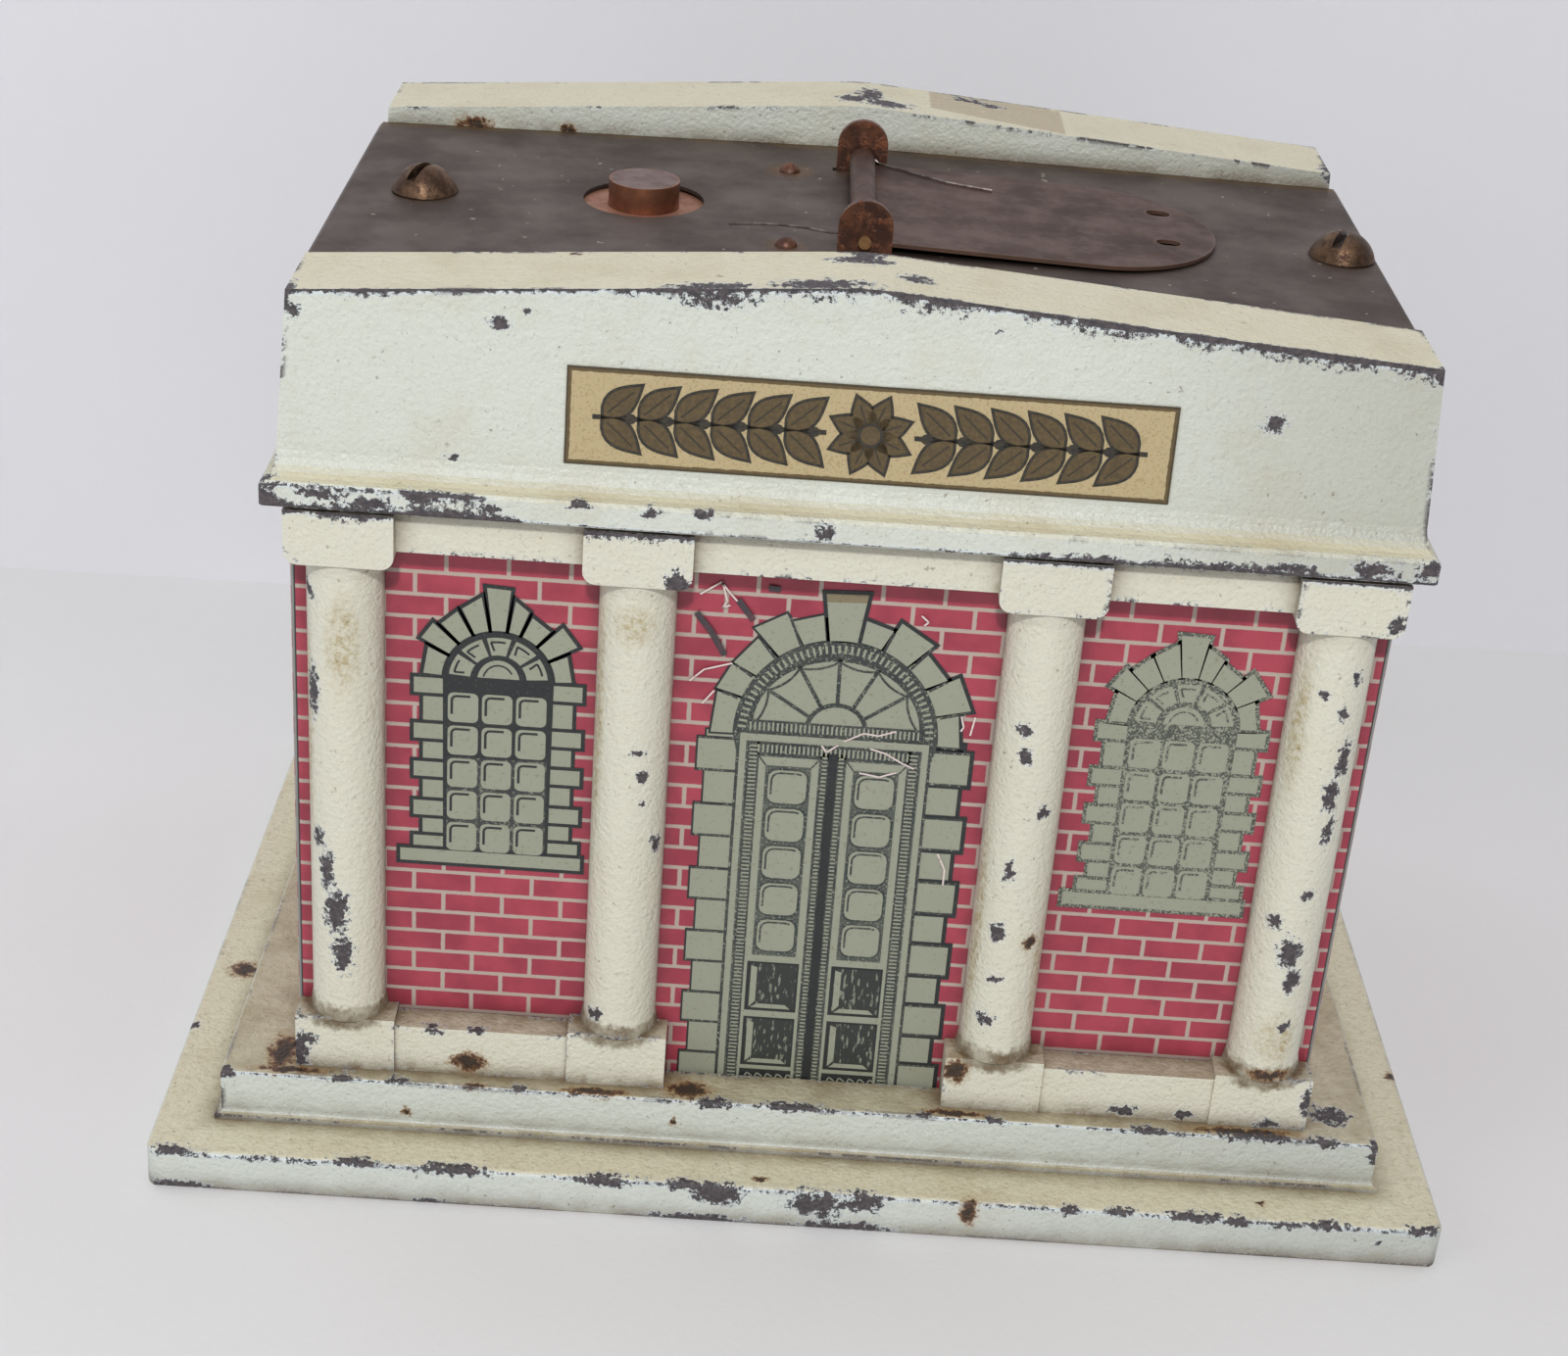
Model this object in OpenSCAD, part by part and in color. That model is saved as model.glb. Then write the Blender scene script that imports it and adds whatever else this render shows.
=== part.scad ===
/* [Base] */
// Width of the base along the front
base_w = 168; // [160:1:176]
// Depth of the base from front to back
base_d = 119; // [117:1:124]
// Height of the lower slab of the base
slab_h = 5.9; // [5.2:0.1:6.2]
// Height of the step that the building stands on
step_z = 13; // [12.6:0.1:13.4]

/* [Building] */
// Width of the printed tin walls
tin_w = 133.4; // [131:0.2:134]
// Depth of the printed tin walls
tin_d = 89; // [87:0.5:89.5]
// Diameter of each column
column_d = 10; // [8:0.5:10.5]
// Distance of the outer columns from the middle
column_outer_x = 59.8; // [58:0.2:60]
// Distance of the inner columns from the middle
column_inner_x = 24.6; // [22:0.2:27]

/* [Roof] */
// Underside of the cornice
roof_z = 93.1; // [92.8:0.1:96]
// Rise of the gable from its ends to its crest
gable_rise = 4.9; // [3:0.1:6]
// Front to back thickness of each parapet
parapet_t = 13.4; // [12:0.2:14]

/* [Coin trap] */
// Length of the coin trap from its pivot to its round end
trap_len = 46.2; // [40:0.1:48]
// Width of the coin trap
trap_w = 34; // [30:1:34]
// Thickness of the trap's sheet
trap_t = 0.5; // [0.4:0.1:0.6]

/* [Hidden] */
$fn = 48;

// Paint and metal colours
cream = [0.86, 0.84, 0.76];
brick_red = [0.66, 0.26, 0.30];
dark_steel = [0.30, 0.27, 0.26];
rusty_copper = [0.42, 0.27, 0.22];
bright_brass = [0.72, 0.58, 0.30];
grey_steel = [0.55, 0.55, 0.54];

// Margins and small gaps
gap = 0.1;
cut = 1;

// Heights that upright holes through the roof and through the magnet are cut between
roof_cut_z0 = 100;
roof_cut_z1 = 130;
magnet_cut_z0 = 60;

// Base
base_corner_r = 2.2;
step_margin = 8.4;
step_w = base_w - 2 * step_margin;
step_d = base_d - 2 * (step_margin - 0.3);
deck_t = 4;
tin_seat_z = 10.6;
tin_seat_gap = 0.5;
ledge_in = 2.2;
rim_t = 5;
hollow_top_z = 3.2;
bar_w = 8;
bar_z0 = 6;
lug_r = 4;
lug_z0 = 2;

// Tin walls
tin_t = 0.5;
tin_z0 = tin_seat_z;
tin_z1 = roof_z + 1.8;
tin_corner_r = 1.2;
tin_flange = 2;

// Porticos
portico_back_y = tin_d / 2 + gap;
plinth_w = 12.8;
plinth_front_y = 49;
plinth_top_z = 20.8;
sill_top_z = 19.9;
sill_front_y = plinth_front_y - 0.3;
capital_w = 13;
capital_front_y = 49.9;
capital_z0 = 85.6;
capital_z1 = roof_z - 0.6;
beam_z0 = 87.4;
beam_front_y = 48.3;
peg_r = 1.5;
peg_len = 2.4;
peg_y = portico_back_y + 2.6;

// Roof casting
lip_x = 68.8;
lip_y = 50.6;
lip_h = 3.2;
cove_h = 3.5;
fascia_low_x = 67.3;
fascia_low_y = 46.9;
fascia_top_x = 66.2;
fascia_top_y = 45.7;
eaves_z = roof_z + 24.9;
crest_z = eaves_z + gable_rise;
crest_r = 40;
seat_top_z = roof_z + 2;
roof_cavity_x = 63;
roof_cavity_y = 42.3;
roof_cavity_z = roof_z + 20.9;
roof_neck_y = 29.4;
roof_lug_z0 = roof_z + 12.9;
plate_half_y = fascia_top_y - parapet_t;

// Printed transfer on the front fascia
label_w = 70.6;
label_h = 11.8;
label_t = 0.15;
label_x = 1.4;
label_mid_z = roof_z + 12.45;

// Roof plate, folded a little along its middle
plate_t = 0.5;
plate_edge_x = 67.4;
plate_edge_z = roof_z + 22.8;
plate_crest_z = roof_z + 23.9;
plate_lip_h = 6;
plate_slope = atan((plate_crest_z - plate_edge_z) / plate_edge_x);
magnet_hole_r = 7.85;
slot_window = [[7, 39], [-10, 15.5]];
slot_mid_x = (slot_window[0][0] + slot_window[0][1]) / 2;

// Mechanism, placed a little behind the middle of the roof
mech_y = 2.75;
magnet_x = -28.5;
ear_half = 18.25;
ear_t = 1;
ear_w = 6.8;
ear_gap = 0.5;
ear_top_z = plate_crest_z + 7;
bracket_z1 = plate_crest_z - plate_t - 0.25;
bracket_t = 0.9;
bracket_x0 = -13.6;
bracket_x1 = 5;
rivet_x = -9.7;
rivet_half = 16.2;
rivet_shank_r = 0.7;
pivot_r = 0.8;
barrel_r = 1.75;
barrel_bore_r = 1.3;
pivot_z = plate_crest_z + barrel_r + 0.1;
trap_droop = 2;
trap_top = -0.4;
trap_slot_y = [-4.7, 7.9];
trap_slot_len = 3.2;
trap_slot_w = 2.4;
trap_slot_inset = 6.6;
barrel_half = ear_half - ear_t / 2 - 1.4;

// Tie screws
tie_left = [-56.8, 1.2];
tie_right = [62.6, 0.5];
tie_r = 2;
tie_head_r = 4.3;
tie_head_h = 3.4;
tie_end_z = 2.6;
tie_slot_turn = 62;
tie_slot_w = 1.3;
tie_slot_depth = 1.5;
nut_r = 4;
nut_h = 3;

// Electromagnet
pole_r = 4.6;
pole_top_z = pivot_z - trap_top - 0.05;
disc_z1 = roof_z + 22.65;
disc_z0 = disc_z1 - 0.6;
bobbin_r = 9;
bobbin_tube_r = pole_r + 0.9;
bobbin_flange_t = 1;
bobbin_z0 = 84;
core_gap = 0.05;
yoke_t = 2;
yoke_w = 12;
yoke_z1 = bracket_z1 - bracket_t;
yoke_flange_t = 1.2;
yoke_limb_x = bracket_x0 + 0.4;
rivet_end_z = yoke_z1 - yoke_flange_t;
yoke_foot_z = bobbin_z0 - 0.1 - yoke_t;

// Partition, contact board and vibration contact
partition_x = yoke_limb_x + yoke_t + 1.3;
partition_t = 0.5;
partition_z1 = 110;
board_x1 = partition_x - partition_t;
board_t = 2;
board_x0 = board_x1 - board_t;
board_y = 30;
board_w = 16;
board_z0 = 56;
board_z1 = 102;
reed_x = board_x0 - 7;
reed_t = 0.4;
reed_w = 5;
reed_z0 = 67;
reed_z1 = 97;
reed_gap = 0.05;
contact_z = 88;
foot_screw_z = 62;
post_screw_z = contact_z + 5.5;
board_foot_z1 = 72;
strap_screw_z = 64;
board_screw_r = 1;
board_hole_r = 1.05;

// Dry cell standing in the left of the building
cell_x = -33.5;
cell_y = mech_y;
cell_r = 16.5;
cell_z0 = 15.4;
cell_h = 57;
board_floor_z = 13.2;
lower_tab_y = 34;
board_screw_spots = [[board_y, foot_screw_z], [board_y, post_screw_z], [cell_y, strap_screw_z]];

// Cloth covered leads, each along its own route between two screws or tabs
lead_r = 0.8;
lead_x = board_x0 - 2.05;
winding_gap = bobbin_r - 0.5 + lead_r + 0.06;
winding_x = magnet_x + winding_gap * cos(45);
winding_y = mech_y + winding_gap * sin(45);
cell_lead_route = [
    [lead_x, cell_y + 2.9, strap_screw_z],
    [lead_x, cell_y + 5, strap_screw_z + 1.5],
    [lead_x, cell_y + 7, strap_screw_z + 6],
    [lead_x - 0.8, cell_y + 9, 76],
    [winding_x + 3, winding_y + 2.6, 82],
    [winding_x + 1, winding_y + 1, 86],
    [winding_x, winding_y, 89.5]
];
coil_lead_route = [
    [winding_x, winding_y, 107.5],
    [winding_x + 1.2, winding_y + 2, 108],
    [winding_x + 3.4, winding_y + 6, 107],
    [lead_x - 1, board_y - 9, 104],
    [lead_x, board_y - 5, 101],
    [lead_x, board_y - 2, 98],
    [lead_x, board_y - 0.6, post_screw_z + 2.8]
];
reed_lead_route = [
    [cell_x, lower_tab_y + 0.85, board_floor_z + 4],
    [cell_x + 2, lower_tab_y + 2.4, board_floor_z + 4.6],
    [cell_x + 7, lower_tab_y + 4, 20],
    [lead_x - 5, lower_tab_y + 4.6, 25],
    [lead_x - 1, lower_tab_y + 4.6, 33],
    [lead_x, lower_tab_y + 4, 42],
    [lead_x, lower_tab_y + 2, 50],
    [lead_x, board_y + 1.6, 56],
    [lead_x, board_y + 0.4, foot_screw_z - 2.8]
];

// Bottom cover and its coin door
cover_z0 = 1.2;
cover_t = 0.8;
cover_z1 = cover_z0 + cover_t;
cover_w = base_w - 2 * rim_t - 1;
cover_d = base_d - 2 * rim_t - 1;
door_x0 = -4;
door_x1 = 54;
door_y0 = -28;
door_hinge_y = 29.5;
door_hinge_z = 3;
door_gap = 0.4;
knuckle_r = 1.2;
door_pin_r = 0.6;
knuckle_len = 12;
cover_screw_x = 74;
cover_screw_y = 49;

// ---------- shapes used by several pieces ----------

// A quarter or part circle as a list of points
function arc_points(centre, r, from, to, steps) = [
    for (i = [0:steps])
        let (a = from + (to - from) * i / steps)
            [centre[0] + r * cos(a), centre[1] + r * sin(a)]
];

// The mirror of a right-hand outline, so that both halves close into one
function both_sides(right) = concat(
    right,
    [for (i = [len(right) - 1:-1:0]) [-right[i][0], right[i][1]]]
);

// An outline drawn in X and Z, carried through the depth
module along_y(outline, depth) {
    rotate([90, 0, 0])
        linear_extrude(height = depth, center = true)
            polygon(outline);
}

// An outline drawn in Y and Z, carried through the width
module along_x(outline, width) {
    rotate([90, 0, 90])
        linear_extrude(height = width, center = true)
            polygon(outline);
}

// A box centred in X and Y, between two heights
module block(w, d, z0, z1) {
    translate([-w / 2, -d / 2, z0])
        cube([w, d, z1 - z0]);
}

// A box given by its two corners
module box(low, high) {
    translate(low)
        cube(high - low);
}

// A box with round upright corners
module round_block(w, d, z0, z1, r) {
    block(w - 2 * r, d, z0, z1);
    block(w, d - 2 * r, z0, z1);
    for (sx = [-1, 1], sy = [-1, 1])
        translate([sx * (w / 2 - r), sy * (d / 2 - r), z0])
            cylinder(r = r, h = z1 - z0);
}

// An upright round bar between two heights
module rod(x, y, r, z0, z1) {
    translate([x, y, z0])
        cylinder(r = r, h = z1 - z0);
}

// A round bar along Y, centred on y
module rod_y(x, y, z, r, length) {
    translate([x, y, z])
        rotate([90, 0, 0])
            cylinder(r = r, h = length, center = true);
}

// A round bar along X, centred on x
module rod_x(x, y, z, r, length) {
    translate([x, y, z])
        rotate([0, 90, 0])
            cylinder(r = r, h = length, center = true);
}

// A low dome standing on a round foot
module dome(r, h) {
    ball_r = (r * r + h * h) / (2 * h);
    intersection() {
        translate([0, 0, h - ball_r])
            sphere(r = ball_r);
        cylinder(r = r + cut, h = h + cut);
    }
}

// A round wire along a list of points, as one closed skin
module wire(path, r, sides = 8) {
    last = len(path) - 1;
    function unit(v) = v / norm(v);
    function heading(i) = unit(path[min(i + 1, last)] - path[max(i - 1, 0)]);
    function across(i) = unit(cross(heading(i), abs(heading(i)[2]) > 0.9 ? [1, 0, 0] : [0, 0, 1]));
    function ring(i) = [
        for (k = [0:sides - 1])
            let (a = 360 * k / sides)
                path[i] + r * (cos(a) * across(i) + sin(a) * cross(heading(i), across(i)))
    ];
    points = [for (i = [0:last]) each ring(i)];
    walls = [
        for (i = [0:last - 1], k = [0:sides - 1])
            let (n = (k + 1) % sides)
                each [
                    [i * sides + k, (i + 1) * sides + n, i * sides + n],
                    [i * sides + k, (i + 1) * sides + k, (i + 1) * sides + n]
                ]
    ];
    ends = [
        [for (k = [0:sides - 1]) k],
        [for (k = [sides - 1:-1:0]) last * sides + k]
    ];
    polyhedron(points, concat(walls, ends));
}

// ---------- base ----------

// Half outline of the stepped base: slab, small cove and step
function base_outline(half, step_half) = both_sides(concat(
    [[half - 0.3, 0], [half, 0.4]],
    arc_points([half - 0.7, slab_h - 0.7], 0.7, 0, 90, 4),
    [[step_half + 0.8, slab_h], [step_half + 0.8, slab_h + 0.6]],
    arc_points([step_half + 0.8, slab_h + 1.4], 0.8, -90, -180, 4),
    arc_points([step_half - 0.4, step_z - 0.4], 0.4, 0, 90, 3)
));

// Bar across the hollow underside that a tie screw's nut pulls against
module tie_bar(x, top) {
    box([x - bar_w / 2, -step_d / 2, bar_z0], [x + bar_w / 2, step_d / 2, top]);
}

module base_casting() {
    deck_z0 = step_z - deck_t;
    color(cream)
        difference() {
            intersection() {
                along_y(base_outline(base_w / 2, step_w / 2), base_d + cut);
                along_x(base_outline(base_d / 2, step_d / 2), base_w + cut);
                round_block(base_w, base_d, -cut, step_z + cut, base_corner_r);
            }
            difference() {
                union() {
                    block(base_w - 2 * rim_t, base_d - 2 * rim_t, -cut, hollow_top_z);
                    block(step_w - 7, step_d - 7, -cut, deck_z0);
                }
                for (tie = [tie_left, tie_right])
                    tie_bar(tie[0], step_z);
                for (sx = [-1, 1], sy = [-1, 1])
                    rod(sx * cover_screw_x, sy * cover_screw_y, lug_r, lug_z0, step_z);
            }
            block(tin_w + 2 * tin_seat_gap, tin_d + 2 * tin_seat_gap, tin_seat_z, step_z + cut);
            difference() {
                block(tin_w - 2 * ledge_in, tin_d - 2 * ledge_in, deck_z0 - cut, step_z + cut);
                for (tie = [tie_left, tie_right])
                    tie_bar(tie[0], deck_z0);
            }
            for (tie = [tie_left, tie_right])
                rod(tie[0], tie[1], tie_r + 0.1, -cut, step_z);
            for (sx = [-1, 1], sy = [-1, 1])
                rod(sx * cover_screw_x, sy * cover_screw_y, 1, -cut, 5);
            for (x = [-column_outer_x, column_outer_x], sy = [-1, 1])
                rod(x, sy * peg_y, peg_r + 0.05, step_z - peg_len - 0.2, step_z + cut);
        }
}

// ---------- porticos ----------

// One half-round column between its plinth and its capital
module portico_column(x) {
    intersection() {
        union() {
            rod(x, -portico_back_y, column_d / 2 - 0.3, plinth_top_z - 0.2, capital_z0 + 0.2);
            translate([x, -portico_back_y, plinth_top_z - 0.05])
                cylinder(r1 = column_d / 2 + 0.1, r2 = column_d / 2 - 0.35, h = 2.4);
            translate([x, -portico_back_y, capital_z0 - 2.3])
                cylinder(r1 = column_d / 2 - 0.35, r2 = column_d / 2 + 0.1, h = 2.4);
        }
        box([x - column_d, -base_d / 2, 0], [x + column_d, -portico_back_y, crest_z]);
    }
}

// A square block whose two lower corners are rounded
module capital(x) {
    r = 1.6;
    half = capital_w / 2;
    outline = concat(
        arc_points([half - r, capital_z0 + r], r, -90, 0, 5),
        [[half, capital_z1]]
    );
    translate([x, -(capital_front_y + portico_back_y) / 2, 0])
        along_y(both_sides(outline), capital_front_y - portico_back_y);
}

module portico() {
    columns = [-column_outer_x, -column_inner_x, column_inner_x, column_outer_x];
    for (x = columns) {
        portico_column(x);
        capital(x);
        box([x - plinth_w / 2, -plinth_front_y, step_z], [x + plinth_w / 2, -portico_back_y, plinth_top_z]);
    }
    for (side = [-1, 1]) {
        mid = side * (column_inner_x + column_outer_x) / 2;
        half = (column_outer_x - column_inner_x) / 2;
        box([mid - half, -sill_front_y, step_z], [mid + half, -portico_back_y, sill_top_z]);
    }
    for (i = [0:2])
        box([columns[i], -beam_front_y, beam_z0], [columns[i + 1], -portico_back_y, capital_z1]);
    for (x = [-column_outer_x, column_outer_x])
        rod(x, -peg_y, peg_r, step_z - peg_len, step_z + 0.1);
}

module front_portico() {
    color(cream)
        portico();
}

module rear_portico() {
    color(cream)
        rotate([0, 0, 180])
            portico();
}

// ---------- printed tin walls ----------

module tin_body() {
    inner_w = tin_w - 2 * tin_t;
    inner_d = tin_d - 2 * tin_t;
    color(brick_red)
        difference() {
            round_block(tin_w, tin_d, tin_z0, tin_z1, tin_corner_r);
            round_block(inner_w, inner_d, tin_z0 + tin_t, tin_z1 - tin_t, tin_corner_r - tin_t);
            block(inner_w - 2 * tin_flange, inner_d - 2 * tin_flange, tin_z0 - cut, tin_z1 + cut);
        }
}

// ---------- roof ----------

// Half outline of the cornice and fascia: lip, cove and sloping face
function roof_outline(lip, low, top) = both_sides(concat(
    [[lip - 0.3, roof_z], [lip, roof_z + 0.3], [lip, roof_z + lip_h - 0.4], [lip - 0.4, roof_z + lip_h]],
    [
        for (i = [1:6])
            let (a = 15 * i)
                [low + (lip - 0.7 - low) * (1 - sin(a)), roof_z + lip_h + cove_h * (1 - cos(a))]
    ],
    [[top, eaves_z], [top, crest_z + cut]]
));

// Height of the gable's top edge at a distance from the middle
function gable_z(x) = eaves_z + gable_rise * (1 - x / fascia_top_x);

module roof_casting() {
    // The crest is rounded where the two slopes meet
    slope = atan(gable_rise / fascia_top_x);
    crest_x = crest_r * sin(slope);
    crest_top = gable_z(crest_x) - crest_r * cos(slope);
    relief_z = plate_edge_z - plate_lip_h - 0.5;
    gable = both_sides(concat(
        [[lip_x + cut, roof_z - cut], [lip_x + cut, eaves_z - 0.2], [fascia_top_x, eaves_z]],
        arc_points([0, crest_top], crest_r, 90 - slope, 90, 4)
    ));
    color(cream)
        difference() {
            intersection() {
                along_y(roof_outline(lip_x, fascia_low_x, fascia_top_x), 2 * lip_y + cut);
                along_x(roof_outline(lip_y, fascia_low_y, fascia_top_y), 2 * lip_x + cut);
                along_y(gable, 2 * lip_y + cut);
            }
            // Seat for the tin walls and the hollow above it
            block(tin_w + 0.4, tin_d + 0.4, roof_z - cut, seat_top_z);
            difference() {
                block(2 * roof_cavity_x, 2 * roof_cavity_y, seat_top_z - cut, roof_cavity_z);
                for (tie = [tie_left, tie_right])
                    roof_lug(tie);
            }
            // Bed for the roof plate between the parapets
            difference() {
                along_y(plate_bed(), 2 * plate_half_y);
                for (tie = [tie_left, tie_right])
                    roof_lug(tie);
            }
            difference() {
                block(2 * roof_cavity_x - 1, 2 * roof_neck_y, roof_cavity_z - cut, crest_z + cut);
                for (tie = [tie_left, tie_right])
                    roof_lug(tie);
            }
            for (tie = [tie_left, tie_right])
                rod(tie[0], tie[1], tie_r + 0.15, roof_z, crest_z);
            // Relief for the plate's folded ends
            for (side = [-1, 1])
                translate([side * (plate_edge_x + 0.2), 0, 0])
                    block(2 * (plate_t + 0.5), 2 * plate_half_y, relief_z, crest_z + cut);
        }
}

// The solid lug under each tie screw's head, up to the plate's underside
module roof_lug(tie) {
    side = sign(tie[0]);
    half = 4.5;
    inner_x = tie[0] - side * 4;
    outer_x = side * (fascia_top_x - 0.2);
    under_plate = both_sides([
        [plate_edge_x, roof_z],
        [plate_edge_x, plate_under(plate_edge_x)],
        [0, plate_under(0)]
    ]);
    intersection() {
        box(
            [min(inner_x, outer_x), tie[1] - half, roof_lug_z0],
            [max(inner_x, outer_x), tie[1] + half, crest_z]
        );
        along_y(under_plate, 40);
    }
}

// Heights of the plate's top and underside at a distance from the middle
function plate_top(x) = plate_crest_z - abs(x) * tan(plate_slope);
function plate_under(x) = plate_top(x) - plate_t;

// Everything above the plate's underside, between the parapets
function plate_bed() = both_sides([
    [0, plate_under(0)], [lip_x + cut, plate_under(lip_x + cut)], [lip_x + cut, crest_z + cut]
]);

// The printed transfer on the fascia, which leans back with it
module sign_label() {
    lean = atan((fascia_low_y - fascia_top_y) / (eaves_z - roof_z - lip_h - cove_h));
    face_y = fascia_low_y - (label_mid_z - roof_z - lip_h - cove_h) * tan(lean);
    color("tan")
        translate([label_x, -face_y, label_mid_z])
            rotate([-lean, 0, 0])
                box([-label_w / 2, -label_t, -label_h / 2], [label_w / 2, 0, label_h / 2]);
}

// ---------- roof plate ----------

module roof_plate() {
    half_y = plate_half_y - 0.15;
    lip_inner = plate_edge_x - plate_t;
    outline = both_sides([
        [lip_inner, plate_edge_z - plate_lip_h], [plate_edge_x, plate_edge_z - plate_lip_h],
        [plate_edge_x, plate_edge_z - 0.5], [plate_edge_x - 0.5, plate_edge_z], [0, plate_crest_z]
    ]);
    under = both_sides([
        [lip_inner, plate_edge_z - plate_lip_h - cut],
        [lip_inner, plate_under(lip_inner)],
        [0, plate_under(0)]
    ]);
    color(dark_steel)
        difference() {
            along_y(outline, 2 * half_y);
            along_y(under, 2 * half_y + cut);
            rod(magnet_x, mech_y, magnet_hole_r, roof_cut_z0, roof_cut_z1);
            for (tie = [tie_left, tie_right])
                rod(tie[0], tie[1], tie_r + 0.2, roof_cut_z0, roof_cut_z1);
            for (side = [-1, 1])
                rod(rivet_x, mech_y + side * rivet_half, rivet_shank_r + 0.05, roof_cut_z0, roof_cut_z1);
            coin_slot();
            for (side = [-1, 1])
                translate([0, mech_y + side * ear_half, 0])
                    block(ear_w + 2 * ear_gap, ear_t + ear_gap, roof_cut_z0, roof_cut_z1);
        }
}

// The opening that the coin drops through, with round corners
module coin_slot() {
    w = slot_window[0][1] - slot_window[0][0];
    d = slot_window[1][1] - slot_window[1][0];
    translate([slot_mid_x, slot_window[1][0] + d / 2, 0])
        round_block(w, d, roof_cut_z0, roof_cut_z1, 3);
}

module tie_screws() {
    color(rusty_copper)
        for (tie = [tie_left, tie_right]) {
            seat = plate_top(tie[0]) + 0.12;
            difference() {
                union() {
                    rod(tie[0], tie[1], tie_r, tie_end_z, seat + 0.5);
                    translate([tie[0], tie[1], seat])
                        dome(tie_head_r, tie_head_h);
                }
                translate([tie[0], tie[1], seat + tie_head_h - tie_slot_depth])
                    rotate([0, 0, tie_slot_turn])
                        block(3 * tie_head_r, tie_slot_w, 0, tie_head_h);
            }
        }
}

module tie_nuts() {
    color(grey_steel)
        for (tie = [tie_left, tie_right])
            difference() {
                translate([tie[0], tie[1], bar_z0 - nut_h])
                    cylinder(r = nut_r, h = nut_h, $fn = 6);
                rod(tie[0], tie[1], tie_r + 0.01, 0, 20);
            }
}

// ---------- coin trap and its bracket ----------

// One ear of the bracket, round at the top, with its pin hole
module bracket_ear(side) {
    y = mech_y + side * ear_half;
    r = ear_w / 2;
    difference() {
        union() {
            rod_y(0, y, ear_top_z - r, r, ear_t);
            box([-r, y - ear_t / 2, bracket_z1 - bracket_t], [r, y + ear_t / 2, ear_top_z - r]);
        }
        rod_y(0, y, pivot_z, pivot_r + 0.02, ear_t + cut);
    }
}

module trap_bracket() {
    color(rusty_copper) {
        for (side = [-1, 1])
            bracket_ear(side);
        difference() {
            box(
                [bracket_x0, mech_y - ear_half - ear_t / 2, bracket_z1 - bracket_t],
                [bracket_x1, mech_y + ear_half + ear_t / 2, bracket_z1]
            );
            for (side = [-1, 1])
                rod(rivet_x, mech_y + side * rivet_half, rivet_shank_r + 0.05, roof_cut_z0, roof_cut_z1);
        }
    }
}

// Two rivets that hold the bracket and the magnet's yoke under the plate
module bracket_rivets() {
    head_r = 1.4;
    color(rusty_copper)
        for (side = [-1, 1])
            translate([rivet_x, mech_y + side * rivet_half, 0]) {
                translate([0, 0, plate_top(rivet_x) + 0.02])
                    dome(head_r, 1.1);
                rod(0, 0, rivet_shank_r, rivet_end_z, plate_top(rivet_x) + 0.2);
                rod(0, 0, rivet_shank_r + 0.8, rivet_end_z - 0.7, rivet_end_z);
            }
}

module trap_pin() {
    color(grey_steel)
        rod_y(0, mech_y, pivot_z, pivot_r, 2 * ear_half + ear_t + 1.4);
}

// The flap at rest: a rolled barrel and a sheet with a round end
module coin_trap() {
    round_r = trap_w / 2;
    color(rusty_copper)
        translate([0, mech_y, pivot_z])
            rotate([0, trap_droop, 0])
                difference() {
                    union() {
                        rod_y(0, 0, 0, barrel_r, 2 * barrel_half);
                        box([0.9, -barrel_half, trap_top - trap_t], [4, barrel_half, trap_top]);
                        box([3.5, -round_r, trap_top - trap_t], [trap_len - round_r, round_r, trap_top]);
                        rod(trap_len - round_r, 0, round_r, trap_top - trap_t, trap_top);
                    }
                    rod_y(0, 0, 0, barrel_bore_r, 2 * barrel_half + cut);
                    for (y = trap_slot_y)
                        translate([trap_len - trap_slot_inset, y, trap_top - 2])
                            round_slot(trap_slot_len, trap_slot_w);
                }
}

// An upright slot with round ends, cut right through
module round_slot(length, width) {
    block(length - width, width, 0, 4);
    for (side = [-1, 1])
        rod(side * (length - width) / 2, 0, width / 2, 0, 4);
}

// Height of the resting flap's top face at a distance from the pivot
function trap_face(x) = pivot_z + trap_top / cos(trap_droop) - x * tan(trap_droop);

// A fine torsion spring on the pin, inside the barrel. Its front leg presses on the roof plate, low enough for
// the open flap to lie over it, and its rear leg on the flap.
module trap_spring() {
    wire_r = 0.16;
    coil_r = pivot_r + 0.04 + wire_r;
    front_y = mech_y - barrel_half - 0.7;
    rear_y = mech_y + barrel_half + 0.7;
    start_turn = 120;
    end_turn = 60;
    turns = 11;
    steps = round((360 * turns + start_turn - end_turn) / 30);
    coil = [
        for (i = [0:steps])
            let (a = start_turn - 30 * i)
                [coil_r * cos(a), front_y + (rear_y - front_y) * i / steps, pivot_z + coil_r * sin(a)]
    ];
    plate_leg = [
        [-17, front_y + 6.2, plate_top(17) + 0.7],
        [-13.8, front_y + 4.8, plate_top(13.8) + 1.35],
        [-10.4, front_y + 3.3, plate_top(10.4) + 1.85],
        [-7.4, front_y + 1.9, plate_top(7.4) + 2.1],
        [-4.2, front_y + 0.5, pivot_z + 0.16],
        [-2.2, front_y - 0.1, pivot_z + 0.5]
    ];
    trap_leg = [
        [1.4, rear_y, pivot_z + 0.35],
        [2.2, rear_y - 0.2, pivot_z - 0.15],
        [3.2, rear_y - 0.9, trap_face(3.2) + 0.22],
        [4.6, rear_y - 1.7, trap_face(4.6) + 0.2],
        [8, rear_y - 3.7, trap_face(8) + 0.2],
        [11.3, rear_y - 5.7, trap_face(11.3) + 0.2],
        [15.3, rear_y - 6.8, trap_face(15.3) + 0.2],
        [17.4, rear_y - 7.3, trap_face(17.4) + 0.2]
    ];
    color(grey_steel)
        wire(concat(plate_leg, coil, trap_leg), wire_r, 6);
}

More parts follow.
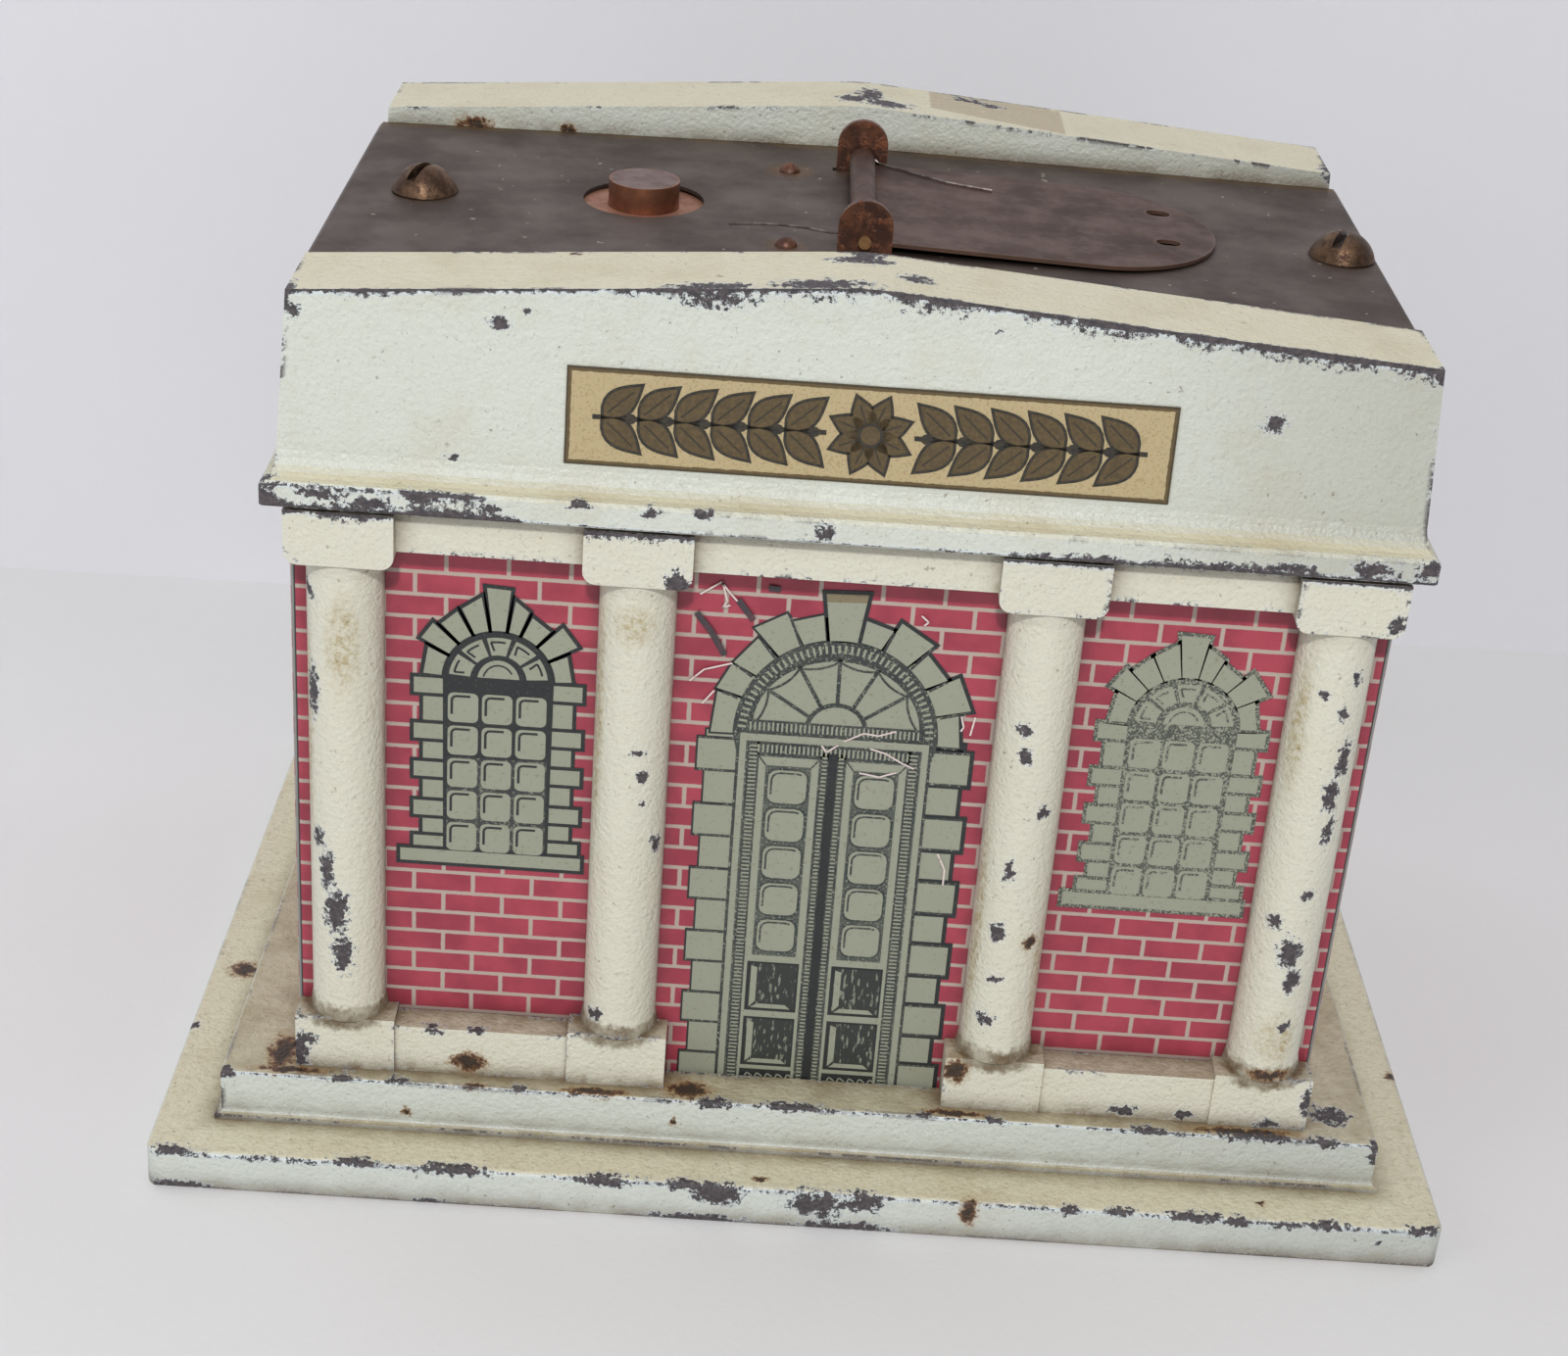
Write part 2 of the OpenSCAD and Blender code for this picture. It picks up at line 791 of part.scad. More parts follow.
// ---------- electromagnet ----------

// Iron strap: flange under the bracket, side limb, foot under the coil
module magnet_yoke() {
    foot_x0 = magnet_x - 6.5;
    y0 = mech_y - yoke_w / 2;
    y1 = mech_y + yoke_w / 2;
    color(grey_steel)
        difference() {
            union() {
                box([yoke_limb_x, mech_y - 18, yoke_z1 - yoke_flange_t], [-6, mech_y + 18, yoke_z1]);
                box([yoke_limb_x, y0, yoke_foot_z], [yoke_limb_x + yoke_t, y1, yoke_z1]);
                box([foot_x0, y0, yoke_foot_z], [yoke_limb_x + yoke_t, y1, yoke_foot_z + yoke_t]);
            }
            rod(magnet_x, mech_y, 2.05, yoke_foot_z - cut, yoke_foot_z + yoke_t + cut);
            for (side = [-1, 1])
                rod(rivet_x, mech_y + side * rivet_half, rivet_shank_r + 0.05, roof_cut_z0, roof_cut_z1);
        }
}

module magnet_core() {
    color(rusty_copper) {
        rod(magnet_x, mech_y, pole_r, yoke_foot_z + yoke_t, pole_top_z);
        rod(magnet_x, mech_y, 2, yoke_foot_z - 3.4, yoke_foot_z + yoke_t + 0.1);
    }
}

module core_nut() {
    color(bright_brass)
        difference() {
            translate([magnet_x, mech_y, yoke_foot_z - 2.6])
                cylinder(r = 4, h = 2.6, $fn = 6);
            rod(magnet_x, mech_y, 2.01, magnet_cut_z0, roof_cut_z0);
        }
}

// Copper disc on the bobbin, seen through the hole in the roof
module pole_disc() {
    color([0.66, 0.42, 0.34])
        difference() {
            rod(magnet_x, mech_y, 9.2, disc_z0, disc_z1);
            rod(magnet_x, mech_y, pole_r + core_gap, roof_cut_z0, roof_cut_z1);
        }
}

module coil_bobbin() {
    top = disc_z0 - 0.05;
    color("saddlebrown")
        difference() {
            union() {
                rod(magnet_x, mech_y, bobbin_r, bobbin_z0, bobbin_z0 + bobbin_flange_t);
                rod(magnet_x, mech_y, bobbin_tube_r, bobbin_z0, top);
                rod(magnet_x, mech_y, bobbin_r, top - bobbin_flange_t, top);
            }
            rod(magnet_x, mech_y, pole_r + core_gap, magnet_cut_z0, roof_cut_z1);
        }
}

module coil_winding() {
    top = disc_z0 - 0.05 - bobbin_flange_t;
    color("darkgreen")
        difference() {
            rod(magnet_x, mech_y, bobbin_r - 0.5, bobbin_z0 + bobbin_flange_t, top);
            rod(magnet_x, mech_y, bobbin_tube_r + core_gap, magnet_cut_z0, roof_cut_z1);
        }
}

// ---------- partition and vibration contact ----------

// Tin wall between the battery and the coins, on four small feet
module partition() {
    half = tin_d / 2 - tin_t - 0.2;
    z0 = tin_z0 + tin_t + 0.1;
    color(grey_steel)
        difference() {
            union() {
                box([partition_x - partition_t, -half, z0], [partition_x, half, partition_z1]);
                for (side = [-1, 1])
                    box(
                        [partition_x - 0.1, side * (half - 0.9) - 0.9, z0],
                        [partition_x + 5, side * (half - 0.9) + 0.9, z0 + partition_t]
                    );
            }
            for (side = [-1, 1])
                box(
                    [partition_x - cut, side * (roof_cavity_y + 5) - 5.4, roof_z - 2],
                    [partition_x + cut, side * (roof_cavity_y + 5) + 5.4, partition_z1 + cut]
                );
        }
}

// L-shaped fibre board, with its foot reaching forward to the battery strap
module contact_board() {
    color("saddlebrown")
        difference() {
            union() {
                box(
                    [board_x0, board_y - board_w / 2, board_z0],
                    [board_x1, board_y + board_w / 2, board_z1]
                );
                box([board_x0, cell_y - 6, board_z0], [board_x1, board_y, board_foot_z1]);
            }
            for (spot = board_screw_spots)
                rod_x(board_x0, spot[0], spot[1], board_hole_r, 12);
        }
}

module board_screws() {
    head_x = board_x0 - 1.2;
    end_x = board_x1 - 0.3;
    color(bright_brass)
        for (spot = board_screw_spots) {
            rod_x(head_x - 0.6, spot[0], spot[1], 1.9, 1.2);
            rod_x((head_x + end_x) / 2, spot[0], spot[1], board_screw_r, end_x - head_x);
        }
}

// Brass angle that carries the reed
module reed_foot() {
    half = 4;
    top = reed_z0 - reed_gap;
    color(bright_brass)
        difference() {
            union() {
                box([board_x0 - 1.2, board_y - half, 59], [board_x0, board_y + half, top]);
                box([reed_x - 1.6, board_y - half, top - 1.2], [board_x0, board_y + half, top]);
            }
            rod_x(board_x0, board_y, foot_screw_z, board_hole_r, 12);
        }
}

// Springy reed with a small weight at its free end
module contact_reed() {
    color(bright_brass) {
        box([reed_x - reed_t, board_y - reed_w / 2, reed_z0], [reed_x, board_y + reed_w / 2, reed_z1]);
        rod_x(reed_x - reed_t - 1.5, board_y, reed_z1 - 3.2, 2.6, 3);
    }
}

module contact_post() {
    color(bright_brass)
        difference() {
            union() {
                box(
                    [board_x0 - 1.2, board_y - 4, contact_z + 2.6],
                    [board_x0, board_y + 4, board_z1 - 5]
                );
                box(
                    [board_x0 - 4.6, board_y - 4, contact_z - 2.6],
                    [board_x0, board_y + 4, contact_z + 2.6]
                );
            }
            rod_x(board_x0, board_y, post_screw_z, board_hole_r, 14);
            rod_x(board_x0, board_y, contact_z, 1.02, 14);
        }
}

// Screw whose point the reed rests against
module contact_screw() {
    tip_x = reed_x + 0.05;
    head_x = board_x0 - 0.4;
    color(grey_steel) {
        rod_x((tip_x + head_x) / 2, board_y, contact_z, 1, head_x - tip_x);
        rod_x(tip_x + 1.1, board_y, contact_z, 1.7, 0.8);
    }
}

// ---------- battery ----------

module dry_cell() {
    color("khaki")
        difference() {
            rod(cell_x, cell_y, cell_r, cell_z0, cell_z0 + cell_h);
            rod(cell_x, cell_y, cell_r - 1.2, cell_z0 + cell_h - 1, cell_z0 + cell_h + cut);
        }
}

module cell_cap() {
    top = cell_z0 + cell_h - 1;
    color(bright_brass)
        union() {
            rod(cell_x, cell_y, 4.6, top, top + 1.6);
            rod(cell_x, cell_y, 3.2, top + 1.5, top + 3.2);
        }
}

// Board across the left of the building that the cell stands on
module battery_board() {
    color("burlywood")
        difference() {
            box([-62, -43.7, tin_z0 + tin_t], [board_x1 - 0.2, 43.7, board_floor_z]);
            rod(tie_left[0], tie_left[1], tie_r + 0.6, 0, 30);
        }
}

// Springy brass strip under the cell, with a tab for its lead
module lower_contact() {
    t = 0.5;
    y0 = cell_y - 8;
    x0 = cell_x - 4;
    x1 = cell_x + 4;
    color(bright_brass) {
        box([x0, y0, board_floor_z], [x1, lower_tab_y, board_floor_z + t]);
        box([x0, y0, board_floor_z], [x1, y0 + t, cell_z0]);
        box([x0, y0, cell_z0 - t], [x1, cell_y + 6, cell_z0]);
        box([x0, lower_tab_y - t, board_floor_z], [x1, lower_tab_y, board_floor_z + 6]);
    }
}

// Brass strap from the fibre board over to the cap of the cell
module upper_contact() {
    t = 0.5;
    half = 3;
    top = cell_z0 + cell_h + 2.2;
    color(bright_brass)
        difference() {
            union() {
                box([cell_x - half, cell_y - half, top], [board_x0, cell_y + half, top + t]);
                box([board_x0 - t, cell_y - half, board_z0 + 2], [board_x0, cell_y + half, top + t]);
            }
            rod_x(board_x0, cell_y, strap_screw_z, board_hole_r, 12);
        }
}

// Cloth covered leads
module cell_lead() {
    color("darkolivegreen")
        wire(cell_lead_route, lead_r);
}

module coil_lead() {
    color("darkolivegreen")
        wire(coil_lead_route, lead_r);
}

module reed_lead() {
    color("darkolivegreen")
        wire(reed_lead_route, lead_r);
}

// ---------- bottom cover and coin door ----------

// Barrels of the door hinge: outer pair on the cover, middle one on the door
module hinge_knuckle(x, length) {
    difference() {
        union() {
            rod_x(x, door_hinge_y, door_hinge_z, knuckle_r, length);
            children();
        }
        rod_x(x, door_hinge_y, door_hinge_z, door_pin_r + 0.03, length + cut);
    }
}

module bottom_cover() {
    mid = (door_x0 + door_x1) / 2;
    open_y = door_hinge_y + 2.2;
    color(grey_steel) {
        difference() {
            round_block(cover_w, cover_d, cover_z0, cover_z1, 2);
            box([door_x0 - door_gap, door_y0 - door_gap, 0], [door_x1 + door_gap, open_y, 10]);
            for (sx = [-1, 1], sy = [-1, 1])
                rod(sx * cover_screw_x, sy * cover_screw_y, 1.2, 0, 10);
        }
        for (side = [-1, 1]) {
            x = mid + side * (knuckle_len + 0.4);
            hinge_knuckle(x, knuckle_len)
                box(
                    [x - knuckle_len / 2, door_hinge_y, cover_z1 - 0.1],
                    [x + knuckle_len / 2, open_y + 1.4, cover_z1 + 0.4]
                );
        }
    }
}

module cover_screws() {
    color(grey_steel)
        for (sx = [-1, 1], sy = [-1, 1])
            translate([sx * cover_screw_x, sy * cover_screw_y, 0]) {
                rod(0, 0, 0.98, cover_z0 - 0.1, 4.8);
                rod(0, 0, 1.9, 0.3, cover_z0 - 0.02);
            }
}

module coin_door() {
    mid = (door_x0 + door_x1) / 2;
    color(grey_steel) {
        difference() {
            box([door_x0, door_y0, cover_z0], [door_x1, door_hinge_y - 1.5, cover_z1]);
            translate([mid, door_y0 + 5, 0])
                rod(0, 0, 4, 0, 10);
        }
        hinge_knuckle(mid, knuckle_len)
            box(
                [mid - knuckle_len / 2, door_hinge_y - 1.6, cover_z1 - 0.4],
                [mid + knuckle_len / 2, door_hinge_y, cover_z1]
            );
        box([mid - 8, door_y0, cover_z1 - 0.1], [mid + 8, door_y0 + 0.8, cover_z1 + 3]);
    }
}

module door_pin() {
    mid = (door_x0 + door_x1) / 2;
    color(bright_brass)
        rod_x(mid, door_hinge_y, door_hinge_z, door_pin_r, 3 * knuckle_len + 2.4);
}

// Leaf spring on the cover that grips the door's upturned edge
module door_catch() {
    mid = (door_x0 + door_x1) / 2;
    y = door_y0 - door_gap;
    color(bright_brass) {
        box([mid - 6, y - 6, cover_z1], [mid + 6, y, cover_z1 + 0.5]);
        box([mid - 6, y - 0.5, cover_z1], [mid + 6, y, cover_z1 + 3.4]);
    }
}

base_casting();
front_portico();
rear_portico();
tin_body();
roof_casting();
sign_label();
roof_plate();
tie_screws();
tie_nuts();
trap_bracket();
bracket_rivets();
trap_pin();
coin_trap();
trap_spring();
magnet_yoke();
magnet_core();
core_nut();
pole_disc();
coil_bobbin();
coil_winding();
partition();
contact_board();
board_screws();
reed_foot();
contact_reed();
contact_post();
contact_screw();
dry_cell();
cell_cap();
battery_board();
lower_contact();
upper_contact();
cell_lead();
coil_lead();
reed_lead();
bottom_cover();
cover_screws();
coin_door();
door_pin();
door_catch();
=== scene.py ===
"""Looks of the tin money box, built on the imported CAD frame: paint, print, metal, wear, light and camera."""

import math

import bpy
from mathutils import Matrix, Vector


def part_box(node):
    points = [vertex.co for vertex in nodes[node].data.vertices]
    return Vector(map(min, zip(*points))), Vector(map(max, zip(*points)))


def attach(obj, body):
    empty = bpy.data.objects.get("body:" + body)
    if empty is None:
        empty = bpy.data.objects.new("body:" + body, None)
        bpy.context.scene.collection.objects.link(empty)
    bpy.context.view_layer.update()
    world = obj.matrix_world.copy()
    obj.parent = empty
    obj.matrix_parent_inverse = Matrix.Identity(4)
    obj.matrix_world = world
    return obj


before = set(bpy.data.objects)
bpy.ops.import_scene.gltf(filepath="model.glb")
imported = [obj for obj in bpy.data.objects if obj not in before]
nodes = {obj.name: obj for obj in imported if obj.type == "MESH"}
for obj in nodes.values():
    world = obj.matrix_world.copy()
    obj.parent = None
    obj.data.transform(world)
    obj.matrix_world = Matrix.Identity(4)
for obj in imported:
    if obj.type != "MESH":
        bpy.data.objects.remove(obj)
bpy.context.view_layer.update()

MM = 0.001


def box_mm(node):
    """Lowest and highest corner of a CAD node, in mm."""
    low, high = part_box(node)
    return low / MM, high / MM


# ---------- sizes taken from the frame, in mm ----------

base_low, base_high = box_mm("base_casting")
tin_low, tin_high = box_mm("tin_body")
roof_low, roof_high = box_mm("roof_casting")
portico_low, portico_high = box_mm("front_portico")
plate_high = box_mm("roof_plate")[1]
label_low, label_high = box_mm("sign_label")

TIN_FRONT = tin_low.y
COLUMN_Y = portico_high.y
COLUMN_R = 4.7
COLUMNS = (-59.8, -24.6, 24.6, 59.8)
LIP_Y = roof_low.y
FASCIA_TOP_X = 66.2
FASCIA_TOP_Y = -45.7
GABLE_RISE = 4.9
EAVES_Z = 118.0
STEP_Z = 13.0
STEP_Y = -51.4
SLAB_Z = 5.9
PLINTH_Y = -49.0
SILL_Y = -48.7


# ---------- node trees ----------


def srgb(red, green, blue):
    """A colour given as 0-255 screen values, turned into the linear values that shaders use."""

    def linear(value):
        share = value / 255
        return share / 12.92 if share <= 0.04045 else ((share + 0.055) / 1.055) ** 2.4

    return (linear(red), linear(green), linear(blue), 1.0)


class Tree:
    """One material, built with short calls on plain values or other nodes' sockets. Lengths are in mm."""

    def __init__(self, name):
        self.material = bpy.data.materials.new(name)
        self.material.use_nodes = True
        self.nodes = self.material.node_tree.nodes
        self.links = self.material.node_tree.links
        self.shader = self.nodes["Principled BSDF"]
        place = self.node("ShaderNodeTexCoord").outputs["Object"]
        self.place = self.vector("SCALE", place, scale=1 / MM)

    def node(self, kind, **settings):
        """A new node with the given settings."""
        made = self.nodes.new(kind)
        for name, value in settings.items():
            setattr(made, name, value)
        return made

    def feed(self, socket, value):
        """Links a node's output, or sets a plain value."""
        if isinstance(value, bpy.types.NodeSocket):
            self.links.new(value, socket)
        else:
            socket.default_value = value

    def math(self, operation, *values):
        """Arithmetic on one to three values."""
        made = self.node("ShaderNodeMath", operation=operation)
        for socket, value in zip(made.inputs, values):
            self.feed(socket, value)
        return made.outputs[0]

    def times(self, first, second):
        return self.math("MULTIPLY", first, second)

    def minus(self, first, second):
        return self.math("SUBTRACT", first, second)

    def line(self, value, slope, start):
        """The value times slope, plus start."""
        return self.math("MULTIPLY_ADD", value, slope, start)

    def absolute(self, value):
        return self.math("ABSOLUTE", value)

    def largest(self, first, second):
        return self.math("MAXIMUM", first, second)

    def vector(self, operation, *values, scale=None):
        """Vector arithmetic; a length, distance or dot product comes back as a number."""
        made = self.node("ShaderNodeVectorMath", operation=operation)
        for socket, value in zip(made.inputs, values):
            self.feed(socket, value)
        if scale is not None:
            self.feed(made.inputs["Scale"], scale)
        gives_number = operation in ("LENGTH", "DISTANCE", "DOT_PRODUCT")
        return made.outputs["Value" if gives_number else "Vector"]

    def parts(self, vector=None):
        """The X, Y and Z of a vector, by default of the place in mm."""
        made = self.node("ShaderNodeSeparateXYZ")
        self.feed(made.inputs[0], vector or self.place)
        return made.outputs[0], made.outputs[1], made.outputs[2]

    def noise(self, size, detail=3.0, rough=0.55, stretch=(1, 1, 1), colour=False):
        """Cloudy noise with lumps about size mm across, longer along the axes whose stretch is over 1."""
        made = self.node("ShaderNodeTexNoise")
        squeezed = self.vector("DIVIDE", self.place, tuple(size * s for s in stretch))
        self.feed(made.inputs["Vector"], squeezed)
        made.inputs["Scale"].default_value = 1
        made.inputs["Detail"].default_value = detail
        made.inputs["Roughness"].default_value = rough
        return made.outputs["Color" if colour else "Fac"]

    def step(self, value, low, high):
        """0 below low, 1 above high, smooth in between. With low above high it falls instead."""
        made = self.node("ShaderNodeMapRange", interpolation_type="SMOOTHSTEP")
        self.feed(made.inputs["Value"], value)
        first, last = (low, high) if low < high else (high, low)
        made.inputs["From Min"].default_value = first
        made.inputs["From Max"].default_value = last
        made.inputs["To Min"].default_value = 0 if low < high else 1
        made.inputs["To Max"].default_value = 1 if low < high else 0
        return made.outputs["Result"]

    def mix(self, share, first, second):
        """A colour that is first where share is 0 and second where it is 1."""
        made = self.node("ShaderNodeMix", data_type="RGBA")
        self.feed(made.inputs["Factor"], share)
        self.feed(made.inputs[6], first)
        self.feed(made.inputs[7], second)
        return made.outputs[2]

    def blend(self, share, first, second):
        """A number that is first where share is 0 and second where it is 1."""
        made = self.node("ShaderNodeMix", data_type="FLOAT")
        self.feed(made.inputs[0], share)
        self.feed(made.inputs[2], first)
        self.feed(made.inputs[3], second)
        return made.outputs[0]

    def total(self, *values):
        result = values[0]
        for value in values[1:]:
            result = self.math("ADD", result, value)
        return result

    def near(self, inside, reach, local=True):
        """How open the surface is within reach mm: 1 in the open. With inside it looks into the solid."""
        made = self.node("ShaderNodeAmbientOcclusion", samples=6, inside=inside, only_local=local)
        made.inputs["Distance"].default_value = reach * MM
        return made.outputs["AO"]

    def edges(self, reach):
        """1 on sharp outer edges, 0 where the surface goes on for reach mm."""
        return self.step(self.near(True, reach), 0.98, 0.62)

    def crevices(self, reach):
        """1 in inner corners, also against other pieces, and 0 in the open."""
        return self.step(self.near(False, reach, local=False), 0.95, 0.42)

    def upward(self):
        """1 on faces that look up, 0 on walls and undersides."""
        normal = self.node("ShaderNodeTexCoord").outputs["Normal"]
        return self.step(self.parts(normal)[2], 0.55, 0.95)

    def spots(self, places):
        """1 in the middle of any of the places and 0 at their rims, with shaken outlines.

        A place is x, y, z, half sizes along x and z, and one along y where it isn't 1.6.
        """
        best = None
        shake = self.vector("SUBTRACT", self.noise(1.1, 3, 0.7, colour=True), (0.5, 0.5, 0.5))
        shaken = self.vector("ADD", self.place, self.vector("SCALE", shake, scale=2.2))
        for x, y, z, across, tall, *deep in places:
            away = self.vector("SUBTRACT", shaken, (x, y, z))
            shrunk = self.vector("DIVIDE", away, (across, deep[0] if deep else 1.6, tall))
            share = self.minus(1, self.vector("LENGTH", shrunk))
            best = share if best is None else self.largest(best, share)
        return self.largest(best, -1)

    def worn_line(self, y, z, reach, least=0.42, down=1.0, start=-200, end=200):
        """Over 0 within a ragged band, up to reach mm wide, round an edge that runs along X at y and z.

        A lower least wears more of the edge, and down stretches the band downward. The z may be a function of
        the tree, for an edge that slopes. The wear lies between start and end along X.
        """
        here = self.parts()
        back = self.times(self.minus(here[1], y), 2.2)
        line_z = z(self) if callable(z) else z
        below = self.times(self.minus(here[2], line_z), 1 / down)
        away = self.math("POWER", self.total(self.times(back, back), self.times(below, below)), 0.5)
        zone = self.step(self.noise(8, 3), least, least + 0.25)
        nibbles = self.times(self.step(self.noise(2.4, 3), 0.36, 0.46), reach * 0.22)
        bites = self.step(self.noise(0.9, 5, 0.85), 0.46, 0.62)
        bite = self.total(
            nibbles,
            self.times(zone, reach * 0.22),
            self.times(bites, self.blend(zone, reach * 0.3, reach)),
        )
        within = self.times(self.step(here[0], start, start + 4), self.step(here[0], end, end - 4))
        bite = self.times(bite, within)
        return self.minus(bite, away)

    def finish(self, colour, rough, metal=0.0, height=None, depth=1.0):
        """Joins colour, roughness, metal and a height in mm to the shader."""
        self.feed(self.shader.inputs["Base Color"], colour)
        self.feed(self.shader.inputs["Roughness"], rough)
        self.feed(self.shader.inputs["Metallic"], metal)
        if height is not None:
            bump = self.node("ShaderNodeBump")
            bump.inputs["Distance"].default_value = MM
            bump.inputs["Strength"].default_value = depth
            self.feed(bump.inputs["Height"], height)
            self.links.new(bump.outputs["Normal"], self.shader.inputs["Normal"])
        return self.material


# ---------- paint on cast metal ----------

# One paint shown as lit on tops (warm) and on walls (cool): painted light.
PAINT_TOP_WARM_LIT = srgb(214, 208, 182)
PAINT_WALL_COOL_LIT = srgb(208, 212, 202)
PAINT_STAIN = srgb(182, 164, 124)
# Brown for dust specks, and for painted shade with dirt in corners.
GRIME_AND_SHADE = srgb(92, 70, 44)
BARE_METAL = srgb(62, 58, 62)
# Pale bluish undercoat, also a painted highlight round worn edges.
UNDERCOAT_AND_HIGHLIGHT = srgb(212, 222, 232)
RUST = srgb(104, 70, 44)


def cast_paint(name, chips, rusty, edge_wear, stain=0.0, lines=(), extra=None):
    """Old cream enamel on a casting: pebbled, stained on top, chipped to dark metal at edges and in places.
    Its colour also carries painted light: a warm tone on tops and a cool one on walls, painted shade with the
    dirt in corners, and a pale rim of undercoat and painted highlight round worn edges.

    Lines are the arguments of worn_line for each worn edge. Extra, if given, gets the tree and the paint's
    colour and gives the colour back.
    """
    tree = Tree(name)
    up = tree.upward()
    cloudy = tree.noise(11, 4)
    fine = tree.noise(0.6, 3)
    ragged = tree.noise(1.0, 5, 0.8)
    patchy = tree.noise(9, 3)
    # Painted light: walls take the cool tone and tops the warm one, as the light falls on them.
    paint = tree.mix(up, PAINT_WALL_COOL_LIT, PAINT_TOP_WARM_LIT)
    staining = tree.times(tree.step(cloudy, 0.46, 0.82), tree.blend(up, 0.2 + stain, 0.42 + stain))
    paint = tree.mix(staining, paint, PAINT_STAIN)
    film = tree.times(tree.step(tree.noise(2.4, 4, 0.7), 0.45, 0.8), 0.14)
    paint = tree.mix(film, paint, PAINT_STAIN)
    if extra:
        paint = extra(tree, paint)
    dust = tree.times(tree.step(tree.noise(0.8, 3, 0.6), 0.66, 0.74), 0.55)
    paint = tree.mix(dust, paint, GRIME_AND_SHADE)
    pores = tree.times(tree.step(tree.noise(0.45, 4, 0.8), 0.54, 0.72), tree.blend(cloudy, 0.1, 0.5))
    paint = tree.mix(pores, paint, srgb(148, 136, 108))
    # Painted shade with dirt: inner corners and joints to other pieces darkened brown.
    corner = tree.times(tree.crevices(3.4), tree.step(patchy, 0.15, 0.6))
    paint = tree.mix(tree.times(corner, 0.85), paint, GRIME_AND_SHADE)

    edge = tree.times(tree.edges(1.1), tree.step(patchy, 0.36, 0.66))
    amount = tree.line(edge, edge_wear, -1.05)
    if chips:
        amount = tree.largest(amount, tree.line(tree.spots(chips), 1.5, -0.45))
    amount = tree.line(tree.minus(ragged, 0.5), 4.6, amount)
    for line in lines:
        amount = tree.largest(amount, tree.worn_line(*line))
    chip = tree.step(amount, -0.03, 0.05)
    rim = tree.step(amount, -0.36, -0.06)
    bare = tree.mix(tree.step(fine, 0.35, 0.7), BARE_METAL, srgb(88, 80, 82))
    # Undercoat with painted highlight: a pale bluish rim round chips and worn edges.
    paint = tree.mix(tree.times(rim, 0.6), paint, UNDERCOAT_AND_HIGHLIGHT)
    if rusty:
        ragged_spot = tree.times(tree.minus(ragged, 0.5), 3.4)
        rust = tree.math("ADD", tree.line(tree.spots(rusty), 1.6, -0.35), ragged_spot)
        paint = tree.mix(tree.times(tree.step(rust, -0.75, 0.05), 0.6), paint, srgb(146, 112, 66))
        paint = tree.mix(tree.step(rust, -0.05, 0.12), paint, RUST)
        paint = tree.mix(tree.step(rust, 0.2, 0.6), paint, srgb(54, 40, 30))
    colour = tree.mix(chip, paint, bare)
    rough = tree.blend(chip, tree.blend(fine, 0.3, 0.5), 0.62)
    pebbles = tree.line(tree.noise(1.1, 2), 0.16, tree.times(chip, -0.13))
    height = tree.line(fine, 0.22, pebbles)
    return tree.finish(colour, rough, 0.0, height)


def gable_z(tree):
    """Height of the parapet's top edge over a place's x."""
    from_middle = tree.absolute(tree.parts()[0])
    return tree.line(from_middle, -GABLE_RISE / FASCIA_TOP_X, EAVES_Z + GABLE_RISE)


def column_grime(tree, paint):
    """A creamier tone, with grime on ledges and round feet, and speckled yellowish patches on the columns."""
    paint = tree.mix(0.65, paint, srgb(218, 213, 193))
    z = tree.parts()[2]
    blotch = tree.step(tree.noise(3.5, 4, 0.7), 0.3, 0.7)
    ledge = tree.times(tree.upward(), tree.step(z, PLINTH_TOP_Z + 2, PLINTH_TOP_Z + 1))
    near_foot = tree.step(tree.spots(COLUMN_FEET), -0.02, 0.22)
    dirt = tree.largest(tree.times(ledge, 0.6), near_foot)
    paint = tree.mix(tree.times(dirt, tree.blend(blotch, 0.5, 1.0)), paint, srgb(106, 88, 62))
    foot = tree.times(tree.step(z, 15.4, 13.0), tree.step(blotch, 0.5, 0.9))
    paint = tree.mix(tree.times(foot, 0.5), paint, srgb(128, 96, 58))
    cloud = tree.step(tree.spots(COLUMN_GRIME), 0.0, 0.7)
    speckle = tree.step(tree.noise(0.8, 4, 0.75), 0.42, 0.62)
    share = tree.times(cloud, tree.blend(speckle, 0.2, 0.8))
    return tree.mix(share, paint, srgb(168, 150, 104))


